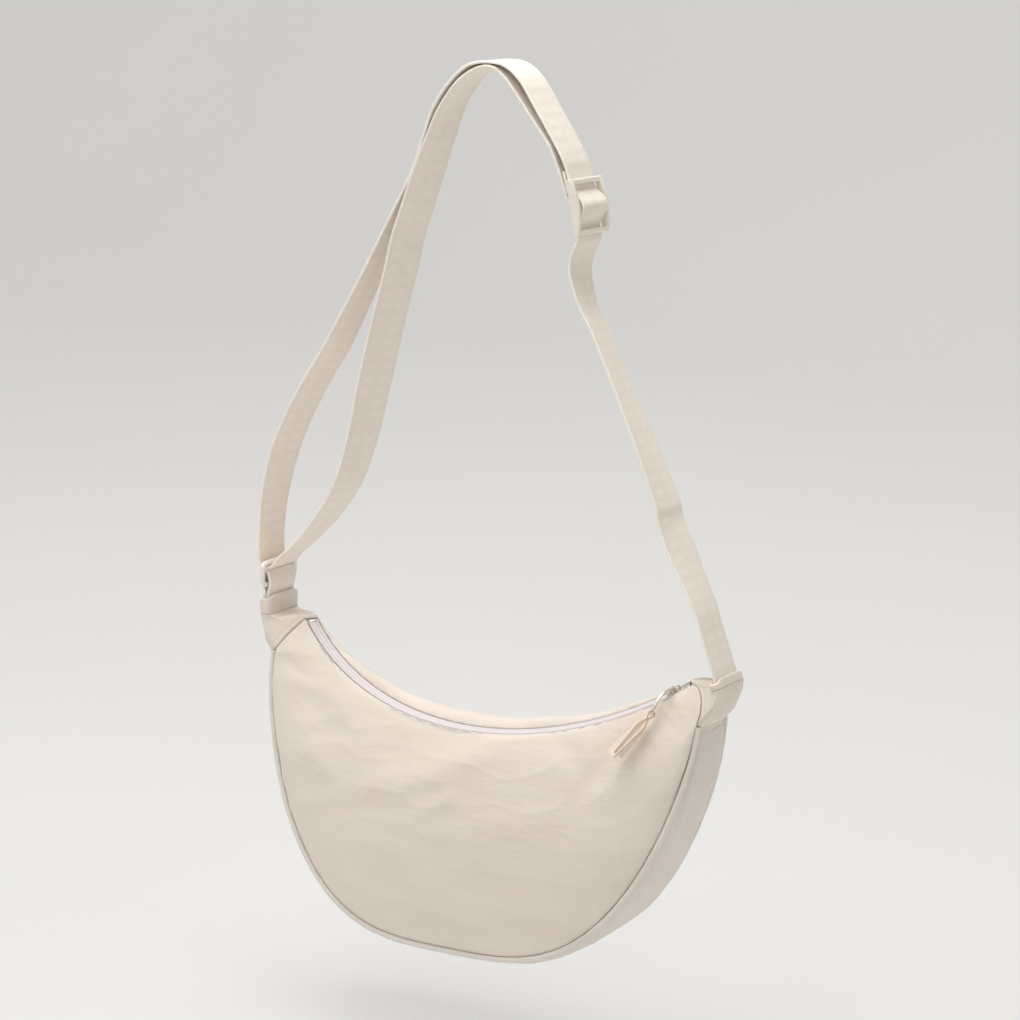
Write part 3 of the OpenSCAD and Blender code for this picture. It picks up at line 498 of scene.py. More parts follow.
zip_r = ((zip_span / 2) ** 2 + zip_sag ** 2) / (2 * zip_sag)
zip_half = np.degrees(np.arcsin(zip_span / 2 / zip_r))
tape_turn = zip_slope + 8
slope_s, slope_c = np.sin(np.radians(zip_slope)), np.cos(np.radians(zip_slope))
turn_s, turn_c = np.sin(np.radians(tape_turn)), np.cos(np.radians(tape_turn))
zip_low = np.array([zip_shift, -zip_sag * slope_s, -zip_drop - zip_sag * slope_c])
zip_mid = zip_low + zip_r * np.array([0, slope_s, slope_c])


def zip_point(phi, front, up):
    """Zip's surface: an arc of radius zip_r about zip_mid, with front across the tapes and up off them."""
    out = np.stack([np.sin(phi), -slope_s * np.cos(phi), -slope_c * np.cos(phi)], -1)
    r = zip_r + front * turn_s - up * turn_c
    z = front * turn_c + up * turn_s
    across = np.array([0, -slope_c, slope_s])
    return zip_mid + out * np.asarray(r)[..., None] + across * np.asarray(z)[..., None]


# A panel's curve handles at the zip and at the seam, as shares of the swell in y and of the height in z
handle_shares = {-1: ((0.55, -0.02), (1.25, 0.45)), 1: ((0.8, 0.185), (0.91, 0.47))}
panel_lift = edge_t + 0.2


def zip_part(a):
    """How much further off the front panel's edge lies along the slider's half of the zip, in mm."""
    return 1.3 * smooth((np.degrees(a) - 5) / 30) * smooth((84 - np.degrees(a)) / 14)


def panel_point(a, v, side):
    """Panel: from the zip to the seam each line is a cubic curve whose handles fade towards the horns."""
    phi = np.arcsin(np.sin(np.radians(zip_half)) * np.sin(a))
    apart = zip_part(a) if side < 0 else 0
    p0 = zip_point(phi, -side * (zip_show / 2 + apart) + 0 * phi, panel_lift + 0 * phi)
    p3 = seam_point(a, side, -piping_d / 2 - sewn_gap + 0 * a)
    fade = np.stack([0 * a, 0.16 + 0.84 * np.cos(a), 0.03 + 0.97 * np.cos(a)], -1)
    (ty, tz), (ly, lz) = handle_shares[side]
    p1 = p0 + fade * np.array([0, side * ty * swell, tz * body_h])
    p2 = p3 + fade * np.array([0, side * ly * swell, lz * body_h])
    w = v[..., None]
    bow = 7 * np.sin(np.pi * v) * smooth((np.degrees(a) - 68) / 22)
    cubic = p0 * (1 - w) ** 3 + 3 * p1 * w * (1 - w) ** 2 + 3 * p2 * w * w * (1 - w) + p3 * w ** 3
    return cubic + bow[..., None] * np.array([0.81, 0, 0.585])


def panel_grid(side, a_limit, v_from, v_to, n, m):
    """Grid of a panel's points with their angles and their shares of the way to the seam."""
    a = np.radians(np.linspace(-a_limit, a_limit, n))[:, None] + np.zeros(m)
    v = np.linspace(v_from, v_to, m) + np.zeros((n, 1))
    return panel_point(a, v, side), a, v


def soft_waves(x, z, lean, spacing, seed, spread=16):
    """Sum of eight sine waves of about one spacing whose crests lie near one direction, from -1 to 1."""
    draw = np.random.default_rng(seed)
    total = np.zeros_like(x)
    for _ in range(8):
        t = np.radians(lean + spread * draw.standard_normal())
        w = spacing * np.exp(0.3 * draw.standard_normal())
        total += np.sin(2 * np.pi * (x * np.sin(t) + z * np.cos(t)) / w + draw.uniform(0, 2 * np.pi))
    return total / 8 ** 0.5


def ridged(n):
    """Turns waves into folds: narrow crests between wide hollows."""
    return np.exp(-2.2 * np.abs(n)) - 0.45


def fold_line(x, z, ends, bend, width, height):
    """One fold: a bell-shaped ridge across a bent line, fading to its ends."""
    (x0, z0), (x1, z1) = ends
    t = np.linspace(0, 1, 25)
    mid = np.array([(x0 + x1) / 2, (z0 + z1) / 2]) + bend * unit(np.array([z0 - z1, x1 - x0], float))
    line = (1 - t)[:, None] ** 2 * [x0, z0] + 2 * (t * (1 - t))[:, None] * mid + t[:, None] ** 2 * [x1, z1]
    near = (x[..., None] - line[:, 0]) ** 2 + (z[..., None] - line[:, 1]) ** 2
    share = np.sin(np.pi * np.clip(t, 0.02, 0.98)) ** 0.6
    return height * (np.exp(-near / (2 * width ** 2)) * share).max(-1)


# Folds of the front: ends in x and z, bend, width and height
front_folds = [
    ((-143, -28), (-112, -26), 2, 2.0, 0.8), ((-136, -32), (-100, -37), -3, 2.6, -0.9),
    ((-130, -41), (-76, -43), 4, 3.4, 1.1), ((-118, -63), (-70, -47), -4, 4.0, 1.2),
    ((-124, -50), (-62, -66), 5, 5.0, -1.0), ((-112, -72), (-78, -84), 3, 5.0, 0.9),
    ((45, -42), (-42, -88), 5, 6.0, 1.7), ((30, -34), (-56, -76), 4, 7.5, -1.2),
    ((16, -80), (-16, -98), -2, 4.0, 1.0), ((-26, -66), (-64, -98), 3, 5.0, 0.9),
    ((62, -40), (90, -60), 4, 4.0, -1.1), ((102, -46), (86, -72), -3, 4.0, -1.0),
    ((120, -46), (96, -74), 4, 5.0, 0.9), ((118, -22), (136, -34), 2, 1.6, -0.9),
    ((122, -17), (137, -31), 2, 1.5, -0.8), ((112, -26), (128, -42), -2, 2.2, 0.7),
    ((140, -37), (133, -66), 2, 3.0, 0.8), ((70, -84), (24, -92), 4, 5.0, 0.7),
]
back_folds = [
    ((-136, -42), (-86, -64), 4, 3.4, 1.1), ((-138, -56), (-92, -96), 5, 4.0, 1.1),
    ((136, -42), (88, -66), -4, 3.4, 1.1), ((137, -58), (94, -98), -5, 4.0, 1.1),
    ((-20, -52), (-66, -100), 5, 6.0, 1.2), ((24, -54), (72, -104), -5, 6.0, 1.2),
    ((-40, -120), (46, -128), 6, 6.5, 0.8), ((-80, -112), (-20, -140), 4, 5.5, 0.8),
]


def puckered(grid, a, v, side, folds, seed):
    """Pushes a panel out by its folds, soft waves and the puckers of its seams. All end at its edges."""
    normal = grid_normals(grid) * side
    x, z = grid[..., 0], grid[..., 2]
    edge = smooth(v / 0.07) * smooth((1 - v) / 0.09) * smooth((np.pi / 2 - np.abs(a)) / 0.16)
    near_horn = smooth((np.abs(a) - 0.7) / 0.8)
    high = smooth((z + 150) / 70)
    push = sum(fold_line(x, z, (p, q), bend, width, height) for p, q, bend, width, height in folds)
    push += 0.4 * ridged(soft_waves(x, z, 12 * side, 30, seed, 30)) * (0.2 + 0.8 * high)
    push += 0.5 * soft_waves(x, z, 20, 60, seed + 1, 45)
    push += 0.16 * ridged(soft_waves(x, z, -14, 10, seed + 2, 24)) * (0.3 + 0.7 * near_horn)
    near_seam = np.exp(-((1 - v) / 0.06) ** 2) * smooth((1 - v) / 0.02)
    near_zip = np.exp(-(v / 0.07) ** 2) * smooth(v / 0.02)
    seam_pucker = near_seam * soft_waves(x, z * 0, 90, 9, seed + 3, 8)
    zip_pucker = near_zip * soft_waves(x, z * 0, 90, 8, seed + 4, 8)
    push = push * edge + 0.28 * seam_pucker + 0.22 * zip_pucker
    return grid + normal * push[..., None]


for side, node, folds, seed in ((-1, "front_panel", front_folds, 11), (1, "back_panel", back_folds, 23)):
    grid, a, v = panel_grid(side, 89.5, 0, 1, 200, 104)
    grid = puckered(grid, a, v, side, folds, seed)
    points, faces = cloth_sheet(grid, edge_t + (cloth_t - edge_t) * smooth(v / 0.06), side)
    panel = make_piece(node + "_cloth", points, faces, panel_nylon, "bag", (node,))

for side, node, start in ((-1, "front_lining", 0.14), (1, "back_lining", 0.35)):
    grid, a, v = panel_grid(side, 84, start, 0.96, 60, 30)
    grid = grid - grid_normals(grid) * side * (cloth_t + lining_gap)
    points, faces = cloth_sheet(grid, lining_t, side)
    make_piece(node + "_cloth", points, faces, lining_taffeta, "bag", (node,))
grid, a, v = panel_grid(1, 24, 0.42, 0.8, 40, 24)
grid = grid - grid_normals(grid) * (cloth_t + lining_gap + lining_t + pocket_gap)
points, faces = cloth_sheet(grid, lining_t, 1)
make_piece("slip_pocket_cloth", points, faces, lining_taffeta, "bag", ("slip_pocket",))


def gusset_point(a, v):
    """Gusset: from seam to seam it swells out by one minus the distance to the sixth power, most at the
    lower left, and less towards the right and the horns."""
    d = np.degrees(a)
    full = 4.2 + 3.8 * smooth((60 - d) / 70) + 3.5 * np.exp(-((d + 48) / 24) ** 2)
    full = full * (0.78 + 0.22 * arch(a) ** 0.5)
    p = seam_xz(a) + seam_out(a) * (full * (1 - np.abs(v) ** 6))[..., None]
    inset = piping_d / 2 + sewn_gap
    front, back = seam_point(a, -1)[..., 1] + inset, seam_point(a, 1)[..., 1] - inset
    return np.stack([p[..., 0], front + (back - front) * (v + 1) / 2, p[..., 1]], -1)


def gusset_grid(a_from, a_to, n, m):
    """Grid of the gusset's points, closer together at its two seams."""
    a = np.radians(np.linspace(a_from, a_to, n))[:, None] + np.zeros(m)
    v = np.sin(np.linspace(-np.pi / 2, np.pi / 2, m)) * 0.6 + np.linspace(-1, 1, m) * 0.4 + np.zeros((n, 1))
    return gusset_point(a, v), a, v


def gusset_strip(name, a_from, a_to, n, m, depth, thickness, material, node, seed):
    """A stretch of gusset with faint lengthwise creases that end at its seams."""
    grid, a, v = gusset_grid(a_from, a_to, n, m)
    grid = grid + grid_normals(grid) * depth
    if depth == 0:
        along = np.cumsum(np.linalg.norm(np.gradient(grid, axis=0), axis=-1), axis=0)
        y = grid[..., 1]
        push = 0.5 * ridged(soft_waves(along, y, 20, 22, seed, 30))
        push = push + 0.4 * soft_waves(along, y, 70, 60, seed + 1, 20)
        grid = grid - grid_normals(grid) * (push * smooth((1 - np.abs(v)) / 0.2))[..., None]
    points, faces = cloth_sheet(grid, thickness, -1)
    make_piece(name, points, faces, material, "bag", (node,))


gusset_strip("gusset_cloth", -86.8, 86.8, 320, 34, 0, cloth_t, gusset_nylon, "gusset", 31)
for node, a_from, seed in (("left_gusset_patch", -90, 32), ("right_gusset_patch", 87, 33)):
    gusset_strip(node + "_cloth", a_from, a_from + 3, 16, 34, 0, cloth_t, patch_nylon, node,
                 seed)
gusset_strip("gusset_lining_cloth", -84, 84, 120, 16, cloth_t + lining_gap, lining_t, lining_taffeta,
             "gusset_lining", 34)

for side, node in ((-1, "front_piping"), (1, "back_piping")):
    # Cord wrapped in bias-cut cloth, its wrap pulled in a little at every stitch
    a = np.radians(np.linspace(-90, 90, 560))
    centre = seam_point(a, side)
    out = seam_out(a)
    outward = np.stack([out[:, 0], 0 * a, out[:, 1]], -1)
    along = np.cumsum(np.linalg.norm(np.gradient(centre, axis=0), axis=1))
    stitches = 0.035 * np.cos(2 * np.pi * along / 3.2)
    radius = piping_d / 2 * (1 - stitches - 0.02 * soft_waves(along, 0 * along, 90, 14, 5))
    rows = carried(centre, outward, np.tile([0.0, 1, 0], (560, 1)), circle(1, 14))
    rows = centre[:, None] + (rows - centre[:, None]) * radius[:, None, None]
    points, faces = tube(rows)
    make_piece(node + "_cord", points, faces, piping_nylon, "bag", (node,))


# Horns
def resampled(line, count):
    """A line's points at equal steps, without its last one."""
    s = np.concatenate([[0], np.cumsum(np.linalg.norm(np.diff(line, axis=0), axis=1))])
    at = np.linspace(0, s[-1], count + 1)[:-1]
    return np.stack([np.interp(at, s, line[:, k]) for k in range(line.shape[1])], -1)


cap_counts = 40, 44, 40, 44


def cap_base(side):
    """Line that a cap is sewn along: down the front panel's end, across the gusset's end and both piping
    ends, up the back panel's end and across the zip."""
    v, end = np.linspace(0, 1, 30), side * np.pi / 2 + np.zeros(30)
    front, back = panel_point(end, v, -1), panel_point(end, v, 1)[::-1]
    tips = [seam_point(end[:1], y, np.array([piping_d / 2])) for y in (-1, 1)]
    bottom = np.vstack([front[-1:], tips[0], gusset_point(end[1:-1], 2 * v[1:-1] - 1), tips[1], back[:1]])
    zero = np.zeros(9)
    across = zip_point(side * np.radians(zip_half) + zero, np.linspace(-0.9, 0.9, 9) * zip_show / 2,
                       0.3 + zero)
    lines = front, bottom, back, np.vstack([back[-1:], across, front[:1]])
    return np.vstack([resampled(x, c) for x, c in zip(lines, cap_counts)])


def cap_mouth(half_t, half_w, r):
    """Rounded oblong in the same order as the base: front, outside, back and inside."""
    u = np.radians(np.linspace(0, 90, 12))
    arcs = [(-1, -1, 180), (1, -1, 270), (1, 1, 0), (-1, 1, 90)]
    line = [np.column_stack([x * (half_t - r) + r * np.cos(u + np.radians(t)),
                             y * (half_w - r) + r * np.sin(u + np.radians(t))]) for x, y, t in arcs]
    line = np.vstack(line)
    line = np.roll(line, -6, axis=0)
    cuts = [line[12 * k:12 * k + 13] for k in range(3)] + [np.vstack([line[36:], line[:1]])]
    return np.vstack([resampled(x, c) for x, c in zip(cuts, cap_counts)])


def horn_cap(side, lean, half_t, seed, folds):
    """Horn cap: each line is a cubic that leaves the patch seam square to it and arrives along the sleeve,
    with a raised welt at the seam and folds gathered towards the mouth."""
    n = 46
    base, mouth = cap_base(side), cap_mouth(half_t, 14.6, 2.4)
    slope = unit(np.array([body_w / 2 - zip_span / 2 - side * zip_shift, 0, zip_drop - seam_drop]))
    square_to = np.array([-slope[2] * side, 0, slope[0]])
    s_l, c_l = np.sin(np.radians(lean)), np.cos(np.radians(lean))
    axis = np.array([-s_l * side, 0, c_l])
    outward = np.array([c_l * side, 0, s_l])
    top = np.array([mouth_x * side, 0, 0]) - sewn_deep * axis
    top = top + mouth[:, :1] * outward + mouth[:, 1:] * np.array([0, 1, 0])
    base = base + square_to * 0.55
    t = np.linspace(0, 1, n)[:, None, None]
    out = unit(base - base.mean(0))
    leave, arrive = square_to * 15 + out * 5, axis * 12
    rows = base * (2 * t ** 3 - 3 * t ** 2 + 1) + leave * (t ** 3 - 2 * t ** 2 + t)
    rows = rows + top * (3 * t ** 2 - 2 * t ** 3) + arrive * (t ** 3 - t ** 2)
    u = np.arange(base.shape[0]) / base.shape[0] * 2 * np.pi
    t = t[:, :, 0]
    away = unit(rows - rows.mean(1, keepdims=True))
    welt = 0.35 * np.exp(-((t - 0.07) / 0.03) ** 2) - 0.3 * np.exp(-((t - 0.15) / 0.03) ** 2)
    gather = folds * smooth((t - 0.25) / 0.3) * smooth((1 - t) / 0.12)
    gather = gather * ridged(soft_waves(14 * u + 0 * t, 26 * t + 0 * u, 70, 16, seed, 16))
    rows = rows + away * (welt + gather)[..., None]
    lips = [rows[:1] * 0.94 + rows[:1].mean(1, keepdims=True) * 0.06 - square_to * 0.1,
            rows[-1:] * 0.9 + rows[-1:].mean(1, keepdims=True) * 0.1 + axis * 0.1]
    return tube(np.concatenate([lips[0], rows, lips[1]]))


for side, lean, half_t, name, folds, seed in ((-1, 0, 4.1, "left_horn_cap", 0.5, 41),
                                              (1, right_lean, 3.2, "right_horn_cap", 0.7, 43)):
    points, faces = horn_cap(side, lean, half_t, seed, folds)
    make_piece(name + "_cloth", points, faces, patch_nylon, "bag", (name,))


def rounded(u, half, power):
    """One coordinate of a rounded oblong: its half width times a power of the cosine or sine in u."""
    return half * np.sign(u) * np.abs(u) ** power


def sleeve(side, lean, height, fold, seed):
    """Sleeve: a rounded oblong band round the webbing; its profile goes up the inside, over the folded
    edge and down the outside, which is creased across. Its edge sinks towards its two corners."""
    wall_w, slot = web_w / 2 + sewn_gap, web_t + sewn_gap
    base = sewn_gap - sewn_deep
    u = np.linspace(0, 2 * np.pi, 160, endpoint=False)
    u = u - 0.22 * np.sin(4 * u)
    inner = np.stack([rounded(np.cos(u), slot, 0.35), rounded(np.sin(u), wall_w, 0.35)], -1)
    outer = np.stack([rounded(np.cos(u), slot + fold, 0.45), rounded(np.sin(u), wall_w + 2.2, 0.3)], -1)
    shape = [(0.04, 0.0), (0.04, 0.5), (0.04, 0.9), (0.14, 0.97), (0.34, 1.0), (0.6, 1.0), (0.82, 0.97),
             (0.95, 0.9), (1.0, 0.8), (0.98, 0.7), (0.97, 0.6), (1.0, 0.46), (0.99, 0.3), (0.95, 0.16),
             (0.97, 0.06), (1.0, 0.0)]
    rows = []
    for share, level in shape:
        ring = inner * (1 - share) + outer * share
        waves = soft_waves(ring[:, 1], 8 * level + 0 * ring[:, 1], 60, 12, seed, 20)
        crease = 0.3 * waves * share * smooth((1 - level) / 0.2)
        ring = ring + unit(ring) * crease[:, None]
        sink = 1.7 * smooth((np.abs(ring[:, 1]) - 0.72 * wall_w) / (0.4 * wall_w)) * level
        rows.append(np.column_stack([ring[:, 0], ring[:, 1], base + height * level - sink]))
    rows = np.array(rows) @ turned("y", -side * lean).T + np.array([side * mouth_x, 0, 0])
    return rows.reshape(-1, 3), grid_faces(len(shape), len(u), wrap_n=True, wrap_m=True)


for side, lean, height, fold, name, seed in ((-1, 0, sleeve_h, 2.2, "left_sleeve", 51),
                                             (1, right_lean, 5, 1.3, "right_sleeve", 53)):
    points, faces = sleeve(side, lean, height, fold, seed)
    make_piece(name + "_cloth", points, faces, patch_nylon, "bag", (name,))


# Webbing
def spline(points, steps=8):
    """Catmull-Rom curve through points."""
    p = np.asarray(points, float)
    p = np.vstack([2 * p[0] - p[1], p, 2 * p[-1] - p[-2]])
    t = (np.arange(steps) / steps)[:, None]
    spans = []
    for a, b, c, d in zip(p[:-3], p[1:-2], p[2:-1], p[3:]):
        square, cube = 2 * a - 5 * b + 4 * c - d, 3 * b - a - 3 * c + d
        spans.append(0.5 * (2 * b + (c - a) * t + square * t ** 2 + cube * t ** 3))
    return np.vstack(spans + [p[-2:-1]])


def evenly(path, step):
    """The same path with points at equal steps."""
    s = np.concatenate([[0], np.cumsum(np.linalg.norm(np.diff(path, axis=0), axis=1))])
    at = np.linspace(0, s[-1], max(int(round(s[-1] / step)), 2) + 1)
    return np.stack([np.interp(at, s, path[:, k]) for k in range(path.shape[1])], -1)


def eased(path, reach):
    """Rounds off a path: each point becomes a bell-weighted mean of its neighbours, ends kept."""
    out = path.copy()
    k = np.arange(-reach, reach + 1)
    w = np.exp(-(k / (0.5 * reach)) ** 2)
    w /= w.sum()
    padded = np.vstack([2 * path[0] - path[reach:0:-1], path, 2 * path[-1] - path[-2:-reach - 2:-1]])
    for c in range(path.shape[1]):
        out[:, c] = np.convolve(padded[:, c], w, "valid")
    return out


def web_section(width, thickness):
    """Flat section of webbing: rounded edges, a slightly thicker selvedge, points every 1 to 2 mm."""
    half, r = width / 2, thickness / 2
    y = half - r - np.array([0, 0.5, 1.1, 1.9, 3.4, 5.5, 8, 10.6]) * width / 25
    y = np.concatenate([y[y > 0.3], -y[y > 0.3][::-1]])
    rise = r * (1 - 0.1 * smooth((half - 1.2 - np.abs(y)) / 0.8))
    arc = np.radians(np.array([60, 30, 0, -30, -60]))
    right = np.stack([half - r + r * np.cos(arc), r * np.sin(arc)], -1)[::-1]
    left = -right
    return np.vstack([np.stack([y, rise], -1), left, np.stack([y[::-1], -rise[::-1]], -1), right])


def webbing_rows(path, twist, width=web_w, thickness=web_t, start=0.0):
    """Rows and UVs of webbing along a path in X and Z: its width lies along Y, turned by a twist."""
    d = unit(np.gradient(path, axis=0))
    n = len(path)
    along = np.stack([d[:, 0], np.zeros(n), d[:, 1]], -1)
    across = np.tile([0.0, 1, 0], (n, 1))
    face = np.cross(across, along)
    c, s = np.cos(np.radians(twist))[:, None], np.sin(np.radians(twist))[:, None]
    section = web_section(width, thickness)
    centre = np.stack([path[:, 0], np.zeros(n), path[:, 1]], -1)
    rows = carried(centre, across * c + face * s, face * c - across * s, section)
    run = start + np.concatenate([[0], np.cumsum(np.linalg.norm(np.diff(path, axis=0), axis=1))])
    uv = np.stack(np.broadcast_arrays(run[:, None], section[None, :, 0]), -1)
    return rows, uv


def shares(table):
    """Points given as shares of half the horn span and of the strap's rise."""
    return [(x * mouth_x, z * strap_rise) for x, z in table]


lean_c, lean_s = np.cos(np.radians(right_lean)), np.sin(np.radians(right_lean))
adj_c, adj_s = np.cos(np.radians(adj_lean)), np.sin(np.radians(adj_lean))


def lean_point(d):
    """Point on the right horn's own line, out of its mouth."""
    return (mouth_x - d * lean_s, d * lean_c)


ring_x, ring_low_z, ring_top_z = -mouth_x, tab_rise + ring_bar / 2, tab_rise + ring_h - ring_bar / 2
fold_half, fold_low = ring_bar / 2 + run_gap + web_t / 2 + 2.6, -(ring_bar / 2 + 0.6 + web_t / 2)
adj_centre = np.array([0.427 * mouth_x, 0.774 * strap_rise])
adj_mid_x, adj_bar_x = -0.8, -0.9


def from_adjuster(x, z):
    """Point in the adjuster's own frame, X outwards and Z along the strap."""
    return (adj_centre[0] + x * adj_c - z * adj_s, adj_centre[1] + x * adj_s + z * adj_c)


weave_in = adj_bar_x - adj_bar_t / 2 - run_gap - web_t / 2
sewn_r = adj_mid_d / 2 + run_gap / 2 + web_t / 2
weave_out = adj_mid_x + sewn_r + web_t + run_gap
weave_half, weave_end = adj_l / 2 - adj_bar_w, adj_l / 2 + 2.3
tail_x = weave_in - web_t - run_gap
main_x = tail_x - web_t - sewn_gap / 2


def main_point(q):
    """Point on the inner layer where it leaves the adjuster, standing off it over the last two thirds."""
    return from_adjuster(main_x - tail_out * (max(q - tail_l / 3, 0) / (tail_l * 2 / 3)) ** 1.2, q)


# The strap is one length of webbing: each stretch is a list of points, joined end to end
lower_run = [lean_point(d) for d in (sewn_gap - sewn_deep, 8, pivot_z / lean_c, 37.5)]
lower_run += shares([(0.832, 0.188), (0.773, 0.25), (0.763, 0.275), (0.7, 0.343), (0.64, 0.402),
                     (0.56, 0.48)])
lower_feed = shares([(0.476, 0.562), (0.428, 0.6), (0.4, 0.637), (0.39, 0.665), (0.401, 0.692)])
weave = [from_adjuster(weave_in, -weave_end)] + [
    from_adjuster(weave_in + (weave_out - weave_in) * np.cos(np.pi / 2 * q / 8) ** 2, weave_half * q / 8)
    for q in range(-8, 9)] + [from_adjuster(weave_in, weave_end)]
outer_feed = [from_adjuster(weave_in - 3, weave_end + 12)]
outer_run = shares(
    [(0.236, 0.945), (0.182, 0.981), (0.12, 1.0035), (0.046, 1.0095), (-0.04, 1.003), (-0.12, 0.974),
     (-0.194, 0.93), (-0.245, 0.88), (-0.305, 0.82), (-0.373, 0.76), (-0.442, 0.7), (-0.517, 0.635),
     (-0.609, 0.56), (-0.703, 0.485), (-0.8, 0.42), (-0.89, 0.35), (-0.965, 0.275), (-1.015, 0.19)])
outer_run += [(ring_x - fold_half, ring_top_z + rise) for rise in (14, 7, 0)]
outer_run += [(ring_x - 0.72 * fold_half, ring_top_z + 0.72 * fold_low),
              (ring_x - fold_half / 3, ring_top_z + fold_low)]
fold_middle = [(ring_x, ring_top_z + fold_low - 0.1)]
inner_run = [(ring_x + fold_half / 3, ring_top_z + fold_low),
             (ring_x + 0.8 * fold_half, ring_top_z + 0.6 * fold_low),
             (ring_x + 8.5, ring_top_z + 3.5), (ring_x + 17, ring_top_z + 10.5)]
inner_run += shares(
    [(-0.83, 0.132), (-0.742, 0.178), (-0.648, 0.245), (-0.58, 0.33), (-0.535, 0.41), (-0.5, 0.47),
     (-0.455, 0.545), (-0.4, 0.63), (-0.36, 0.7), (-0.315, 0.755), (-0.262, 0.82), (-0.208, 0.88),
     (-0.165, 0.925), (-0.1, 0.968), (-0.03, 0.993), (0.046, 1.003), (0.106, 0.99), (0.168, 0.957)])
sewn_top = main_point(tail_l)
inner_end = inner_run[-1]
inner_feed = [((inner_end[0] + sewn_top[0]) / 2, (inner_end[1] + sewn_top[1]) / 2), sewn_top]
sewn_end = [main_point(q) for q in (27, 20, tail_l / 3)] + [from_adjuster(main_x + 0.6 * web_t, tail_l / 6)]
sewn_end += [from_adjuster(adj_mid_x + sewn_r * np.cos(u), sewn_r * np.sin(u))
             for u in np.radians(range(210, 451, 30))]
sewn_end += [from_adjuster((adj_mid_x + tail_x) / 2, 1.8 * sewn_r), from_adjuster(tail_x + web_t / 4, 10),
             from_adjuster(tail_x, tail_l / 2.4), from_adjuster(tail_x - web_t / 3, 20)]


def stretch_of(points, step, reach):
    """Even points along a curve through points, its corners eased."""
    return eased(evenly(spline(points, 10), step), reach)


def nearest(path, point):
    """Number of the path's point that lies nearest to a point."""
    return int(np.argmin(np.linalg.norm(path - np.array(point), axis=1)))


# The strap as far as the ring is one path, eased more the further it is from the adjuster
path_step = 0.5
whole = stretch_of(lower_run + lower_feed + weave + outer_feed + outer_run + fold_middle, path_step, 2)
first, last = nearest(whole, weave[0]), nearest(whole, weave[-1])
steps = np.arange(len(whole))
far = np.maximum(first - steps, steps - last) * path_step
whole = whole + smooth((far - 6) / 20)[:, None] * (eased(whole, 6) - whole)
low_path, weave_path, high_path = whole[:first + 1], whole[first:last + 1], whole[last:]
back_path = stretch_of(fold_middle + inner_run + inner_feed, 1.0, 3)
sewn_path = stretch_of([sewn_top] + sewn_end, path_step, 2)


def run_twist(path, heights, degrees):
    """Twist of a strap's run: turns at some heights, eased from one to the next."""
    return eased(np.interp(path[:, 1], heights, degrees)[:, None], 16)[:, 0]


def lay_webbing(name, path, twist, replaces, body=None, join=None, start=0.0):
    """One stretch of the strap's webbing."""
    rows, uv = webbing_rows(path, twist, start=start)
    points, faces = tube(rows)
    make_piece(name, points, faces, strap_webbing, body, replaces, uv=uv, join=join, sharp=70)


def at(x, z):
    """Point on the strap's middle plane."""
    return (x, 0, z)


split = nearest(low_path, lower_feed[0])
low_twist = run_twist(low_path, (34, 64, 100, 150, 190, 222), (0, 7, 0, -9, -9, 0))
# Where the strap would bend as the bag swings, at the right horn and above the ring, which keeps to the bag;
# these points are handed to join and nothing bends the strap
swing_top = (0, 0, pivot_z + 9), (0, 0, pivot_z - 9)
fold_top = (0, 0, pivot_z + 26), (0, 0, pivot_z + 5)
lay_webbing("webbing_lower_run", low_path[:split + 1], low_twist[:split + 1],
            ("strap_horn_end", "strap_lower_run"), join=("strap", "bag", *swing_top))
lay_webbing("webbing_lower_feed", low_path[split:], low_twist[split:], ("strap_lower_feed",),
            join=("strap", "adjuster", at(*lower_feed[0]), at(*weave[0])), start=split * path_step)
lay_webbing("webbing_weave", weave_path, 0 * weave_path[:, 0], ("strap_weave",), body="adjuster",
            start=300.0)
split = nearest(high_path, outer_run[0])
high_twist = run_twist(high_path, (40, 90, 150, 260, 306), (0, -9, -8, 13, 5))
to_crest = 150 * path_step
past_crest = (np.arange(len(high_path)) - split) * path_step / to_crest
high_twist = high_twist * smooth(past_crest - 0.7)
lay_webbing("webbing_outer_feed", high_path[:split + 1], high_twist[:split + 1], ("strap_outer_feed",),
            join=("strap", "adjuster", at(*outer_run[0]), at(*weave[-1])), start=336.0)
lay_webbing("webbing_outer_layer", high_path[split:], high_twist[split:],
            ("strap_outer_layer", "strap_ring_fold"), join=("strap", "bag", *fold_top),
            start=336.0 + split * path_step)
split = nearest(back_path, inner_end)
back_twist = run_twist(back_path, (30, 70, 140, 260, 306), (0, 8, 18, 14, 0))
lay_webbing("webbing_inner_layer", back_path[:split + 1], back_twist[:split + 1], ("strap_inner_layer",),
            join=("strap", "bag", *fold_top), start=900.0)
lay_webbing("webbing_inner_feed", back_path[split:], back_twist[split:] * 0, ("strap_inner_feed",),
            join=("strap", "adjuster", at(*inner_end), at(*sewn_top)), start=900.0 + split)
lay_webbing("webbing_sewn_end", sewn_path, 0 * sewn_path[:, 0], ("strap_sewn_end",), body="adjuster",
            start=1300.0)

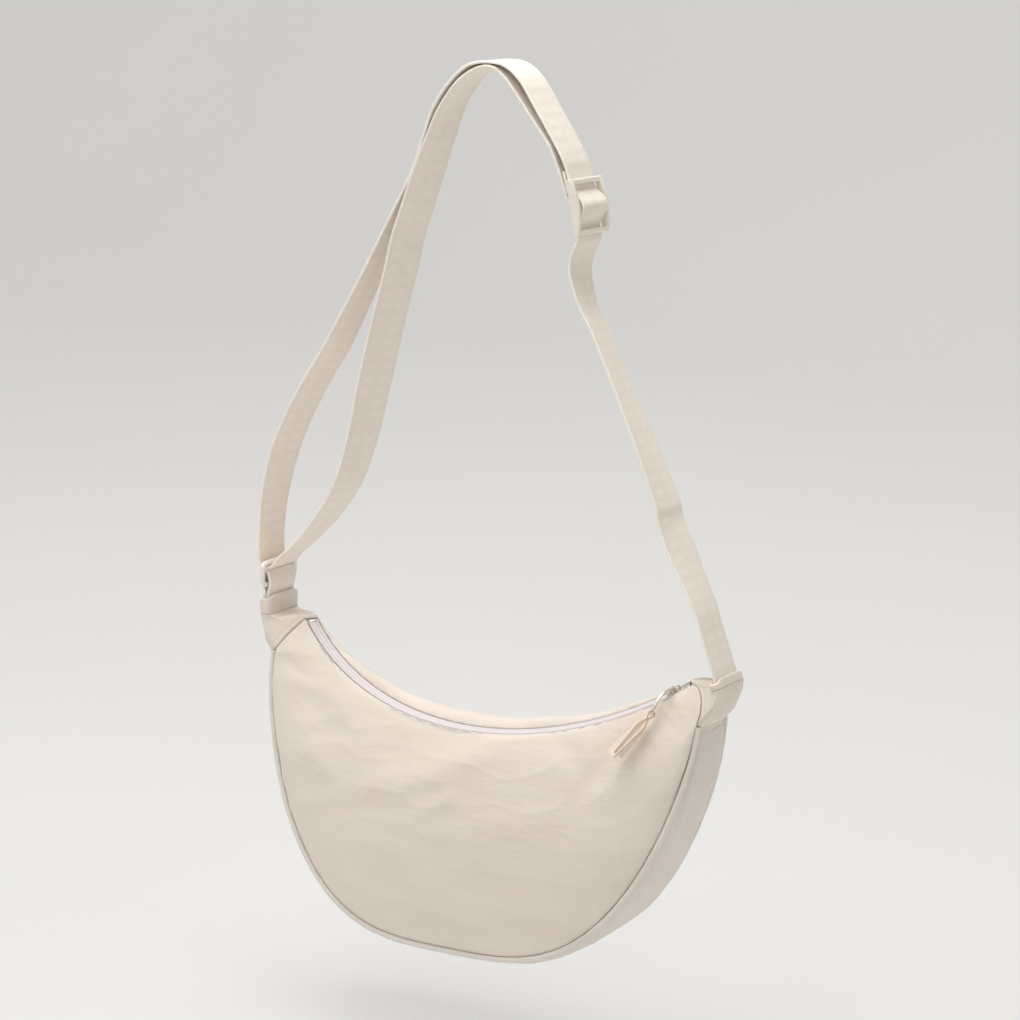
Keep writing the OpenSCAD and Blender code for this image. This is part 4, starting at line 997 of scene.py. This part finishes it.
# Tab: webbing round the ring's lower bar
tab_r = ring_bar / 2 + 1.4 * run_gap + web_t / 2
layer, foot, mouth = web_t / 2 + sewn_gap / 2.4, sewn_gap - sewn_deep, sleeve_h - sewn_deep + sewn_gap
neck = (layer + 0.42 * (tab_r - layer), (mouth + ring_low_z) / 2)
half_tab = [(layer, foot), (layer, mouth / 4), (layer + sewn_gap / 4, mouth), neck]
loop_rise = 5.5
over = [(tab_r * np.cos(u), ring_low_z + (tab_r + loop_rise * max(np.sin(u), 0)) * np.sin(u))
        for u in np.radians(range(-10, 191, 20))]
tab_path = eased(evenly(spline(half_tab + over + [(-x, z) for x, z in half_tab[::-1]], 8), 0.5), 2)
tab_path = tab_path + [ring_x, 0]
rows, uv = webbing_rows(tab_path, 0 * tab_path[:, 0])
points, faces = tube(rows)
make_piece("tab_webbing_loop", points, faces, strap_webbing, "bag", ("tab_webbing",), uv=uv,
           sharp=70)


# Ring and adjuster
def rounded_oblong(half_y, half_z, corner, steps=10):
    """Closed outline of an oblong with round corners, in Y and Z."""
    u = np.radians(np.linspace(0, 90, steps))
    arcs = []
    for cy, cz, q in ((1, 1, 0), (-1, 1, np.pi / 2), (-1, -1, np.pi), (1, -1, 1.5 * np.pi)):
        y = cy * (half_y - corner) + corner * np.cos(u + q)
        z = cz * (half_z - corner) + corner * np.sin(u + q)
        arcs.append(np.stack([y, z], -1))
    return np.vstack(arcs)


def closed_bar(outline, section_r, centre):
    """Round bar along a closed outline in the plane of Y and Z."""
    path = np.column_stack([np.zeros(len(outline)), outline]) + centre
    d = unit(np.roll(path, -1, axis=0) - np.roll(path, 1, axis=0))
    side = np.tile([1.0, 0, 0], (len(path), 1))
    return tube(carried(path, side, np.cross(side, d), circle(section_r, 20)), closed=True)


ring_play, ring_corner = 3, 3.6
ring_outline = rounded_oblong((web_w + ring_play) / 2 + ring_bar / 2, (ring_top_z - ring_low_z) / 2,
                              ring_corner)
points, faces = closed_bar(ring_outline, ring_bar / 2, np.array([ring_x, 0, (ring_low_z + ring_top_z) / 2]))
make_piece("ring_bar", points, faces, buckle_nylon, "ring", ("ring",))


def slab(outline, low, high, r):
    """Plate with rounded rims: an outline stacked from low to high and drawn in by r at both faces."""
    d = np.roll(outline, -1, axis=0) - np.roll(outline, 1, axis=0)
    inward = unit(np.stack([-d[:, 1], d[:, 0]], -1))
    area = (outline[:, 0] * np.roll(outline[:, 1], -1) - outline[:, 1] * np.roll(outline[:, 0], -1)).sum()
    inward *= np.sign(area)
    rows = []
    for q in np.radians([0, 30, 60, 90]):
        level = np.full(len(outline), low + r * (1 - np.cos(q)))
        rows.append(np.column_stack([outline + inward * r * (1 - np.sin(q)), level]))
    rows += [np.column_stack([x[:, :2], low + high - x[:, 2]]) for x in rows[::-1]]
    return tube(np.array(rows))


def in_adjuster(points):
    """Adjuster's own frame, X outwards and Z along the strap, to the horn frame."""
    return points @ turned("y", -adj_lean).T + np.array([adj_centre[0], 0, adj_centre[1]])


rail_w, rail_bow, rail_round, rail_y = 2.7, 2.4, 0.8, web_w / 2 + 0.8
q = np.linspace(-1, 1, 25)
rail_outline = np.vstack([
    np.column_stack([adj_bar_x + adj_bar_t / 2 + rail_bow * (1 - q * q), q * adj_l / 2]),
    np.column_stack([adj_bar_x - adj_bar_t / 2 - rail_bow / 4 * (1 - q * q), q * adj_l / 2])[::-1]])
parts = []
for side in (-1, 1):
    low = side * rail_y if side > 0 else -rail_y - rail_w
    points, faces = slab(rail_outline, low, low + rail_w, rail_round)
    parts.append((in_adjuster(points[:, [0, 2, 1]]), faces))
for z, section in ((-1, None), (0, circle(adj_mid_d / 2, 24)), (1, None)):
    y = np.linspace(-rail_y - rail_w / 2, rail_y + rail_w / 2, 9)
    if section is None:
        section = rounded_oblong(adj_bar_t / 2, adj_bar_w / 2, 0.9, 6)
    centre = np.column_stack([np.full(9, adj_bar_x if z else adj_mid_x), y,
                              np.full(9, z * (adj_l - adj_bar_w) / 2)])
    rows = carried(centre, np.tile([1.0, 0, 0], (9, 1)), np.tile([0, 0, 1.0], (9, 1)), section)
    points, faces = tube(rows)
    parts.append((in_adjuster(points), faces))
points, faces = merge(parts)
make_piece("adjuster_frame", points, faces, buckle_nylon, "adjuster", ("strap_adjuster",))


# Zip
def turn_of(length):
    """Angle of a length along the zip's arc, in degrees."""
    return length / zip_r * 180 / np.pi


stop_phi = zip_half - turn_of(2)
park_phi = stop_phi - turn_of(1.2 + run_gap + slider_l / 2)


def on_zip(points, phi):
    """Frame on the zip's arc: X forward across the tapes, Y along the zip, Z up off them."""
    m = turned("x", 90 - zip_slope) @ turned("z", -90) @ turned("z", phi)
    return (points @ turned("y", tape_turn - 90).T + np.array([zip_r, 0, 0])) @ m.T + zip_mid


for side, node in ((1, "zip_tape_front"), (-1, "zip_tape_back")):
    phi = np.radians(np.linspace(0.2 - zip_half, zip_half - 0.2, 260))[:, None] + np.zeros(12)
    a = np.arcsin(np.clip(np.sin(phi) / np.sin(np.radians(zip_half)), -1, 1))
    wider = 1 + (zip_part(a) if side > 0 else 0) / (zip_show / 2)
    front = side * wider * (np.linspace(0.28, zip_show / 2 + 0.5, 12) + 0 * phi)
    grid = zip_point(phi, front, 0 * phi + 0.12 * np.exp(-((np.abs(front / wider) - 0.9) / 0.5) ** 2))
    points, faces = cloth_sheet(grid, tape_t, side)
    run = np.broadcast_to(zip_r * phi, front.shape)
    # Across the tapes the UV is stretched on the front tape and shrunk on the back one, so the painted
    # shadow band starts where each panel's edge lies over it; the rims take the tone 0.6 mm from the middle.
    uv = np.stack([run, front / wider * (1.15 if side > 0 else 0.95)], -1).reshape(-1, 2)
    rim = points[2 * len(uv):]
    rim_uv = np.column_stack([rim[:, 0], np.full(len(rim), side * 0.6)])
    uv = np.vstack([uv, uv, rim_uv])
    make_piece(node + "_cloth", points, faces, tape_knit, "bag", (node,), uv=uv)

for node in ("zip_coil_front", "zip_coil_back"):
    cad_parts[node].data.materials.clear()
    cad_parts[node].data.materials.append(coil_nylon)

stop_outline = rounded_oblong(zip_show * 0.3, 1.2, 0.5, 5)
for node, phi in (("zip_top_stop", stop_phi), ("zip_bottom_stop", -stop_phi)):
    points, faces = slab(stop_outline, coil_gap, coil_gap + 0.8, 0.35)
    make_piece(node + "_clip", on_zip(points, phi), faces, nickel, "bag", (node,))

# Slider: two plates with rounded rims, a neck, two flanges and an arched bridge
plate_w, plate_t, nose_w, bridge_w, bridge_t, bridge_l = 6.2, 0.9, 5.4, 1.3, 0.9, 6.6
bridge_gap = wire_d + 2 * run_gap
top_z, low_z = run_gap, -tape_t - coil_gap - coil_wire - run_gap
r = slider_l / 5
u = np.radians(np.linspace(0, 90, 7))
plate = np.vstack([
    np.stack([plate_w / 2 - r + r * np.cos(u), slider_l / 2 - r + r * np.sin(u)], -1),
    np.stack([r - plate_w / 2 - r * np.sin(u), slider_l / 2 - r + r * np.cos(u)], -1),
    np.stack([r - nose_w / 2 - r * np.cos(u), r - slider_l / 2 - r * np.sin(u)], -1),
    np.stack([nose_w / 2 - r + r * np.sin(u), r - slider_l / 2 - r * np.cos(u)], -1)])
parts = [slab(plate, top_z, top_z + plate_t, 0.3), slab(plate, low_z - plate_t, low_z, 0.3)]
neck_outline = rounded_oblong(0.2, 1.1, 0.15, 4) + [0, 3.7]
parts.append(slab(neck_outline, low_z - 0.4, top_z + 0.4, 0.1))
for side in (-1, 1):
    flange = rounded_oblong(0.2, 2.2, 0.15, 4) + [side * (nose_w - 0.4) / 2, -1.65]
    parts.append(slab(flange, low_z - 0.45, -tape_t - run_gap, 0.12))
q = np.radians(np.linspace(180, 0, 21))
half = bridge_l / 2 - bridge_t / 2
rise = bridge_gap + bridge_t / 2
arch_y = np.concatenate([[-half], half * np.cos(q), [half]])
arch_z = np.concatenate([[0], rise / 2 + rise / 2 * np.sin(q), [0]]) + top_z + plate_t - 0.2
path = np.column_stack([0 * arch_y, arch_y, arch_z])
d = unit(np.gradient(path, axis=0))
side_way = np.tile([1.0, 0, 0], (len(path), 1))
bridge_section = rounded_oblong(bridge_w / 2, bridge_t / 2, 0.3, 5)
parts.append(tube(carried(path, side_way, np.cross(side_way, d), bridge_section)))
points, faces = merge(parts)
make_piece("slider_body", on_zip(points, park_phi), faces, nickel, "slider", ("zip_slider",))

puller_z, puller_turn, puller_tip = top_z + plate_t + bridge_gap / 2, 15, -10
ribbon_turn, ribbon_fan = 17, -55


def in_puller(points):
    """Puller's frame: it stands under the bridge, X along the wire where it passes there."""
    lie = turned("z", puller_turn) @ turned("y", puller_tip)
    return on_zip(points @ lie.T + np.array([0, 0, puller_z]), park_phi)


def wire_mid(t):
    """Middle line of the wire loop: over the panel's edge first, then along it."""
    along = -t + 0.1 * np.sin(np.pi * t)
    over, up = 0.52 * (1 - (1 - t) ** 1.9), 0.11 * np.sin(np.pi * t) - 0.25 * t ** 3
    return wire_l * np.stack([over, along, up], -1)


def square_off(x):
    """Turns a cosine or sine of a circle into that of a rounded oblong."""
    return np.sign(x) * np.abs(x) ** 0.45


wire_half = 1 + run_gap + wire_d / 2 + 0.5
u = np.linspace(0, 2 * np.pi, 720, endpoint=False)
loop = wire_mid((1 - square_off(np.cos(u))) / 2)
loop[:, 0] += wire_half * square_off(np.sin(u))
loop = np.vstack([loop, loop[:1]])
loop = evenly(loop, 0.35)[:-1]
loop = (np.roll(loop, 1, axis=0) + 2 * loop + np.roll(loop, -1, axis=0)) / 4
d = unit(np.roll(loop, -1, axis=0) - np.roll(loop, 1, axis=0))
up = np.array([0.0, 0.25, 1])
side_way = unit(np.cross(d, up))
points, faces = tube(carried(loop, side_way, np.cross(side_way, d), circle(wire_d / 2, 14)), closed=True)
make_piece("puller_wire_loop", in_puller(points), faces, nickel, "wire", ("puller_wire",))

# Ribbon: folded round the wire's tip, narrow there, its two tails side by side
half = ribbon_t / 2 + sewn_gap / 2
ribbon_r = wire_d / 2 + 2 * run_gap + ribbon_t / 2
path = [(ribbon_l, half + 1.2), (ribbon_l * 0.6, half + 0.6), (ribbon_l * 0.25, half),
        (2 * ribbon_r, half + ribbon_t / 4)]
path += [(ribbon_r * np.cos(v), ribbon_r * np.sin(v)) for v in np.radians(range(50, 311, 26))]
path += [(2 * ribbon_r, -half - ribbon_t / 4), (ribbon_l * 0.25, -half), (ribbon_l * 0.6, -half - 0.6),
         (ribbon_l * 0.92, -half - 1.2)]
path = eased(evenly(spline(path, 10), 0.4), 2)
fan = smooth((path[:, 0] - 1) / 9)
rows, uv = webbing_rows(path, ribbon_fan * fan, ribbon_w, ribbon_t)
narrow, neck_end = 0.6 * wire_half / ribbon_w, 2.2 * ribbon_r
wide = narrow + (1 - narrow) * smooth((path[:, 0] - neck_end) / (0.3 * ribbon_l - neck_end))
rows[..., 1] *= wide[:, None]
points, faces = tube(rows)
points = points @ (turned("z", -90) @ turned("y", ribbon_turn)).T + wire_mid(np.array(1.0))
make_piece("puller_ribbon_tails", in_puller(points), faces, grosgrain, "ribbon",
           ("puller_ribbon",), uv=uv, sharp=70)


# Stage and finish: a paper sweep in metres, level under the bag and turned up behind it
floor_z, floor_reach, sweep_r, sweep_y, sweep_top = -0.56, 12, 1.2, 2.2, 4.0
u = np.radians(np.linspace(8, 90, 14))
profile_y = np.concatenate([np.linspace(-floor_reach, sweep_y, 12), sweep_y + sweep_r * np.sin(u),
                            [sweep_y + sweep_r] * 2])
profile_z = np.concatenate([np.zeros(12), sweep_r - sweep_r * np.cos(u), [2 * sweep_r, sweep_top]]) + floor_z
x, profile_y = np.broadcast_arrays(np.linspace(-floor_reach, floor_reach, 12)[:, None], profile_y)
sweep_points = np.stack([x, profile_y, np.broadcast_to(profile_z, x.shape)], -1).reshape(-1, 3)
mesh = bpy.data.meshes.new("paper_sweep")
mesh.from_pydata(sweep_points.tolist(), [], [f[::-1] for f in grid_faces(*x.shape)])
mesh.shade_smooth()
mesh.materials.append(studio_floor())
sweep = bpy.data.objects.new("paper_sweep", mesh)
bpy.context.collection.objects.link(sweep)
sweep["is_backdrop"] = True

world = bpy.data.worlds.new("studio_air")
bpy.context.scene.world = world
world.use_nodes = True
world.node_tree.nodes.clear()
sky = add(world.node_tree, "ShaderNodeBackground", {"Color": linear("#F4F2EF"), "Strength": 0.5})
add(world.node_tree, "ShaderNodeOutputWorld", {"Surface": sky.outputs[0]})

low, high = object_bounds()
